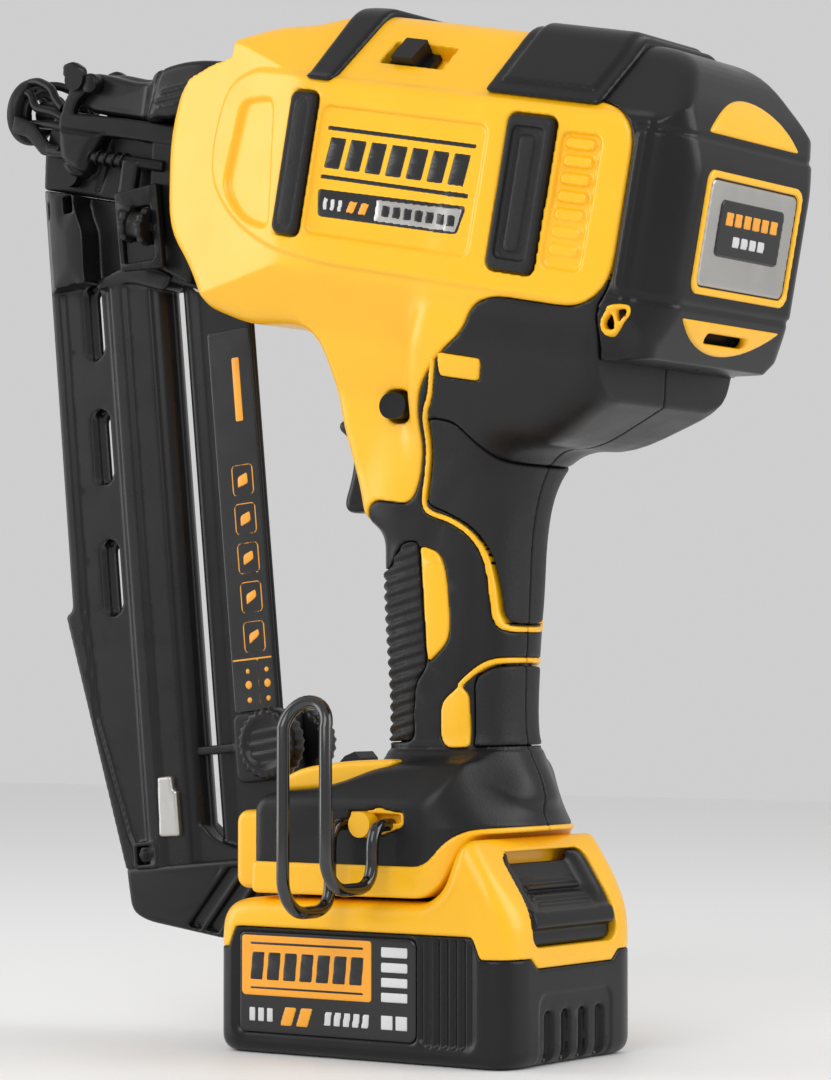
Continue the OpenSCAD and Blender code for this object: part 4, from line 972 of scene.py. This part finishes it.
def build_nose():
    """The nose body with its side bars, and the jam lever with its pivot screws."""
    g = Slanted(from_tool, (-166, -17, -52), (-64, 17, 20), FINE * 0.85)
    y_abs = g.y_abs
    bore = np.hypot(g.y, g.w)
    core = both(g.side("uw", CORE_SIDE, 2), y_abs - 8.6, 1.2)
    web = both(g.side("uw", WEB_SIDE, 2), y_abs - 12.6, 1)
    bar = both(g.side("uw", NOSE_BAR, 1), y_abs - 13.4, 0.9)
    boss = both(g.side("uw", BOSS_SIDE, 1.5), np.abs(y_abs - 10.4) - 5.2, 4.0)
    boss = grooved(boss, (g.w + 17.2) + 0.38 * (g.u + 134), 0.7, 0.7)
    hook = both(g.side("uw", HOOK_SIDE, 1), np.abs(y_abs - 11.6) - 1.7, 0.7)
    tube_front = both(bore - 4.7, np.abs(g.u + 155) - 9, 0.8)
    nose = union(core, web, bar, boss, hook, tube_front)
    nose = grooved(nose, np.maximum(np.abs(g.u + 122 - 0.2 * g.w), np.abs(g.w + 16) - 7), 0.7, 0.7)
    piece("nose_body", g, cut(nose, bore - 2.4), "dark_steel", ["nosepiece"])
    pivot = both(np.hypot(g.u - PIVOT_U, g.w - PIVOT_W) - 3.4, y_abs - 14.2, 0.9)
    piece("lever_pivot_screws", g, common(pivot, 9.8 - y_abs), "dark_steel")

    g = Slanted(from_tool, (-145, -23, 0), (-62, 23, 27))
    half = soft_curve(g.u, *LEVER_CURVE, 2.5)
    pad = g.side("uw", [(-100, 5.5, 2), (-88, 7.5, 3), (-83, 15, 3), (-95.5, 13.5, 2)], 1)
    nubs = 0.9 * wave(g.w - 0.3 * g.u, 2.5) * step_in(pad, 1.2)
    lever = both(g.side("uw", LEVER_SIDE, 3), g.y_abs - half - nubs, 2.6)
    lever = grooved(lever, np.maximum(np.abs(g.u + 103 - 0.25 * g.w), g.y_abs - 30), 0.6, 0.6)
    crest = both(g.side("uw", CREST_SIDE, 2), g.y_abs - 4.5, 1.5)
    piece("jam_lever", g, either(lever, crest, 2.5), "black_smooth", ["jam_door"], "jam_door")


def build_contact():
    """The contact trip: soft ring, arms, side plate, wire straps, and the depth wheel on its screw."""
    g = Slanted(from_tool, (-176, -13, -13), (-161, 13, 13), FINE * 0.7)
    ring = np.hypot(np.hypot(g.y, g.w) - 8.4, (g.u + 169.3) * 1.15) - 3.0
    ring = ring - 0.35 * step_in(np.abs(np.hypot(g.y, g.w) - 11) - 0.5, 0.8)
    piece("contact_ring", g, ring, "rubber", ["no_mar_pad"], "contact_trip")

    g = Slanted(from_tool, (-170, -18, -51), (-84, 18, 8), FINE * 0.85)
    collar = both(np.hypot(g.y, g.w) - 8.6, np.abs(g.u + 165.6) - 1.3, 0.6)
    collar = common(collar, 5.4 - np.hypot(g.y, g.w))
    arms = both(g.side("uw", ARM_SIDE, 1), np.abs(g.y_abs - 10.6) - 1.2, 0.5)
    plate = cut(g.side("uw", TRIP_PLATE), g.side("uw", TRIP_OPENING))
    plate = both(plate, np.abs(g.y + 15.6) - 1.3, 0.4)
    top = both(g.side("uw", TRIP_TOP, 0.3), np.abs(g.y + 13.6) - 3.2, 0.4)
    rod = both(np.hypot(g.y_abs - 12.5, g.w + 12.5) - 2.0, np.abs(g.u + 122) - 26, 0.5)
    stem = both(g.side("uw", TRIP_STEM, 0.5), np.abs(g.y + 13.6) - 1.6, 0.5)
    piece("trip_frame", g, union(collar, arms, plate, top, rod, stem), "dark_steel", ["contact_trip"],
          "contact_trip")

    g = Slanted(from_tool, (-112, -24, -42), (-86, -7, -24), FINE * 0.7)
    spin = np.hypot(g.y - WHEEL_Y, g.w - WHEEL_W)
    along = np.abs(g.u - WHEEL_SHIFT + 109)
    teeth = 0.35 * np.cos(12 * np.arctan2(g.w - WHEEL_W, g.y - WHEEL_Y))
    wheel = np.minimum(both(spin - 4.4, along - 5, 0.5),
                       both(spin - 6.2 - teeth, np.abs(along - 3.7) - 1.3, 0.5))
    piece("depth_knob", g, wheel, "black", ["depth_wheel"], "depth_wheel")
    piece("depth_stem", g, both(spin - 1.9, along - 8.4, 0.4), "dark_steel", ["depth_screw"], "contact_trip")
    for label, places in STRAPS.items():
        for side, sign in (("left", 1), ("right", -1)):
            path = [(from_tool(u, w)[0], y * sign, from_tool(u, w)[1]) for u, y, w in places]
            strap = tube(f"strap_{label}_{side}", smooth_path(path, 2.5), 1.5)
            finish_piece(strap, "dark_steel", body="contact_trip", keep=1)


TRIGGER_SIDE = [(-29.2, 201.2, 2), (-30.3, 198.2, 2), (-25.2, 194.2, 4), (-23.8, 187.5, 6), (-25.6, 180, 6),
                (-27.7, 174.6, 3), (-26.6, 171.2, 2), (-22, 170.8, 2), (-17.2, 172, 3), (-13.6, 184, 6),
                (-10.5, 191.5, 4), (-1, 191.5, 3), (-0.8, 201.2, 2)]


def build_trigger():
    g = Grid((-33, -9, 168), (3, 9, 204), FINE * 0.8)
    field = both(g.side("xz", TRIGGER_SIDE, 2), g.y_abs - 6.9, 3.0)
    field = cut(field, np.hypot(g.x + 6, g.z - 196) - 2.2)
    piece("trigger_lever", g, field, "black_smooth", ["trigger"], "trigger")


# ---- stage, light and camera ----
def build_stage():
    """A plain pale floor and an even white sky."""
    bpy.ops.mesh.primitive_plane_add(size=4)
    floor = bpy.context.object
    floor.name = "floor"
    mat = bpy.data.materials.new("floor_paper")
    mat.use_nodes = True
    shader = mat.node_tree.nodes["Principled BSDF"]
    shader.inputs["Base Color"].default_value = (0.90, 0.90, 0.90, 1)
    shader.inputs["Roughness"].default_value = 0.55
    floor.data.materials.append(mat)
    world = bpy.data.worlds.new("studio")
    world.use_nodes = True
    world.node_tree.nodes["Background"].inputs["Color"].default_value = (1, 1, 1, 1)
    world.node_tree.nodes["Background"].inputs["Strength"].default_value = 0.62
    bpy.context.scene.world = world
    bpy.context.scene.view_settings.view_transform = "Standard"


def add_light(name, place, target, size, power):
    data = bpy.data.lights.new(name, "AREA")
    data.shape, data.size, data.size_y, data.energy = "RECTANGLE", size[0], size[1], power
    lamp = bpy.data.objects.new(name, data)
    lamp.location = place
    lamp.rotation_euler = (Vector(target) - Vector(place)).to_track_quat("-Z", "Y").to_euler()
    bpy.context.scene.collection.objects.link(lamp)


def build_camera():
    azimuth, elevation, distance = math.radians(35), math.radians(-2.2), 1.115
    target = Vector((-0.003 * math.cos(azimuth), -0.003 * math.sin(azimuth), 0.162))
    back = Vector((math.sin(azimuth) * math.cos(elevation), -math.cos(azimuth) * math.cos(elevation),
                   math.sin(elevation)))
    data = bpy.data.cameras.new("camera")
    data.sensor_width = 36
    data.lens = 36 * 3500 / 1080
    camera = bpy.data.objects.new("camera", data)
    camera.location = target + back * distance
    camera.rotation_euler = (-back).to_track_quat("-Z", "Y").to_euler()
    bpy.context.scene.collection.objects.link(camera)
    bpy.context.scene.camera = camera


# The finish of each CAD node that stays.
NODE_FINISH = {
    "dark_steel": ["housing_screws", "door_pin", "nose_bolts", "trip_springs", "driver", "pinch_arm"],
    "steel": ["trigger_pin", "trigger_spring", "guide_rails", "return_springs", "flywheel",
              "motor_bearings", "pinch_roller", "solenoid_plunger"],
    "black": ["trigger_switch", "terminal_block"],
    "black_smooth": ["lock_off_button", "stall_lever", "magazine_bracket", "mode_selector"],
    "silver": ["roll_spring", "drive_frame"],
    "yellow": ["hook_screw"],
    "lens": ["headlight_lenses"],
    "board": ["control_board"],
    "cell": ["battery_cells"],
    "rubber": ["drive_stops"],
    "copper": ["motor_stator", "solenoid"],
}
SOFT_EDGES = {"magazine_bracket": 0.6, "lock_off_button": 1.0, "mode_selector": 0.8,
              "stall_lever": 0.6, "nose_bolts": 0.4}


def paint_nodes():
    """Gives each CAD node its finish, and rounds the edges of those in view."""
    for mat, names in NODE_FINISH.items():
        for name in names:
            paint(NODES[name], mat)
    for name, width in SOFT_EDGES.items():
        bevel = NODES[name].modifiers.new("edge", "BEVEL")
        bevel.width, bevel.segments, bevel.limit_method = width * MM, 2, "ANGLE"
        bevel.angle_limit, bevel.harden_normals = math.radians(35), False


build_stage()
build_camera()
paint_nodes()
add_light("key", (0.2, -1.2, 0.9), (0, 0, 0.2), (0.9, 0.9), 8)
add_light("left", (-1.2, -0.6, 0.5), (0, 0, 0.2), (0.7, 1.0), 6)
add_light("rear", (1.1, 0.4, 0.7), (0, 0, 0.2), (0.7, 1.0), 7)
build_housing()
build_grip()
build_cap()
build_bumpers()
build_marks()
build_foot()
build_battery()
build_hook()
build_magazine()
build_pusher()
build_nose()
build_contact()
build_trigger()
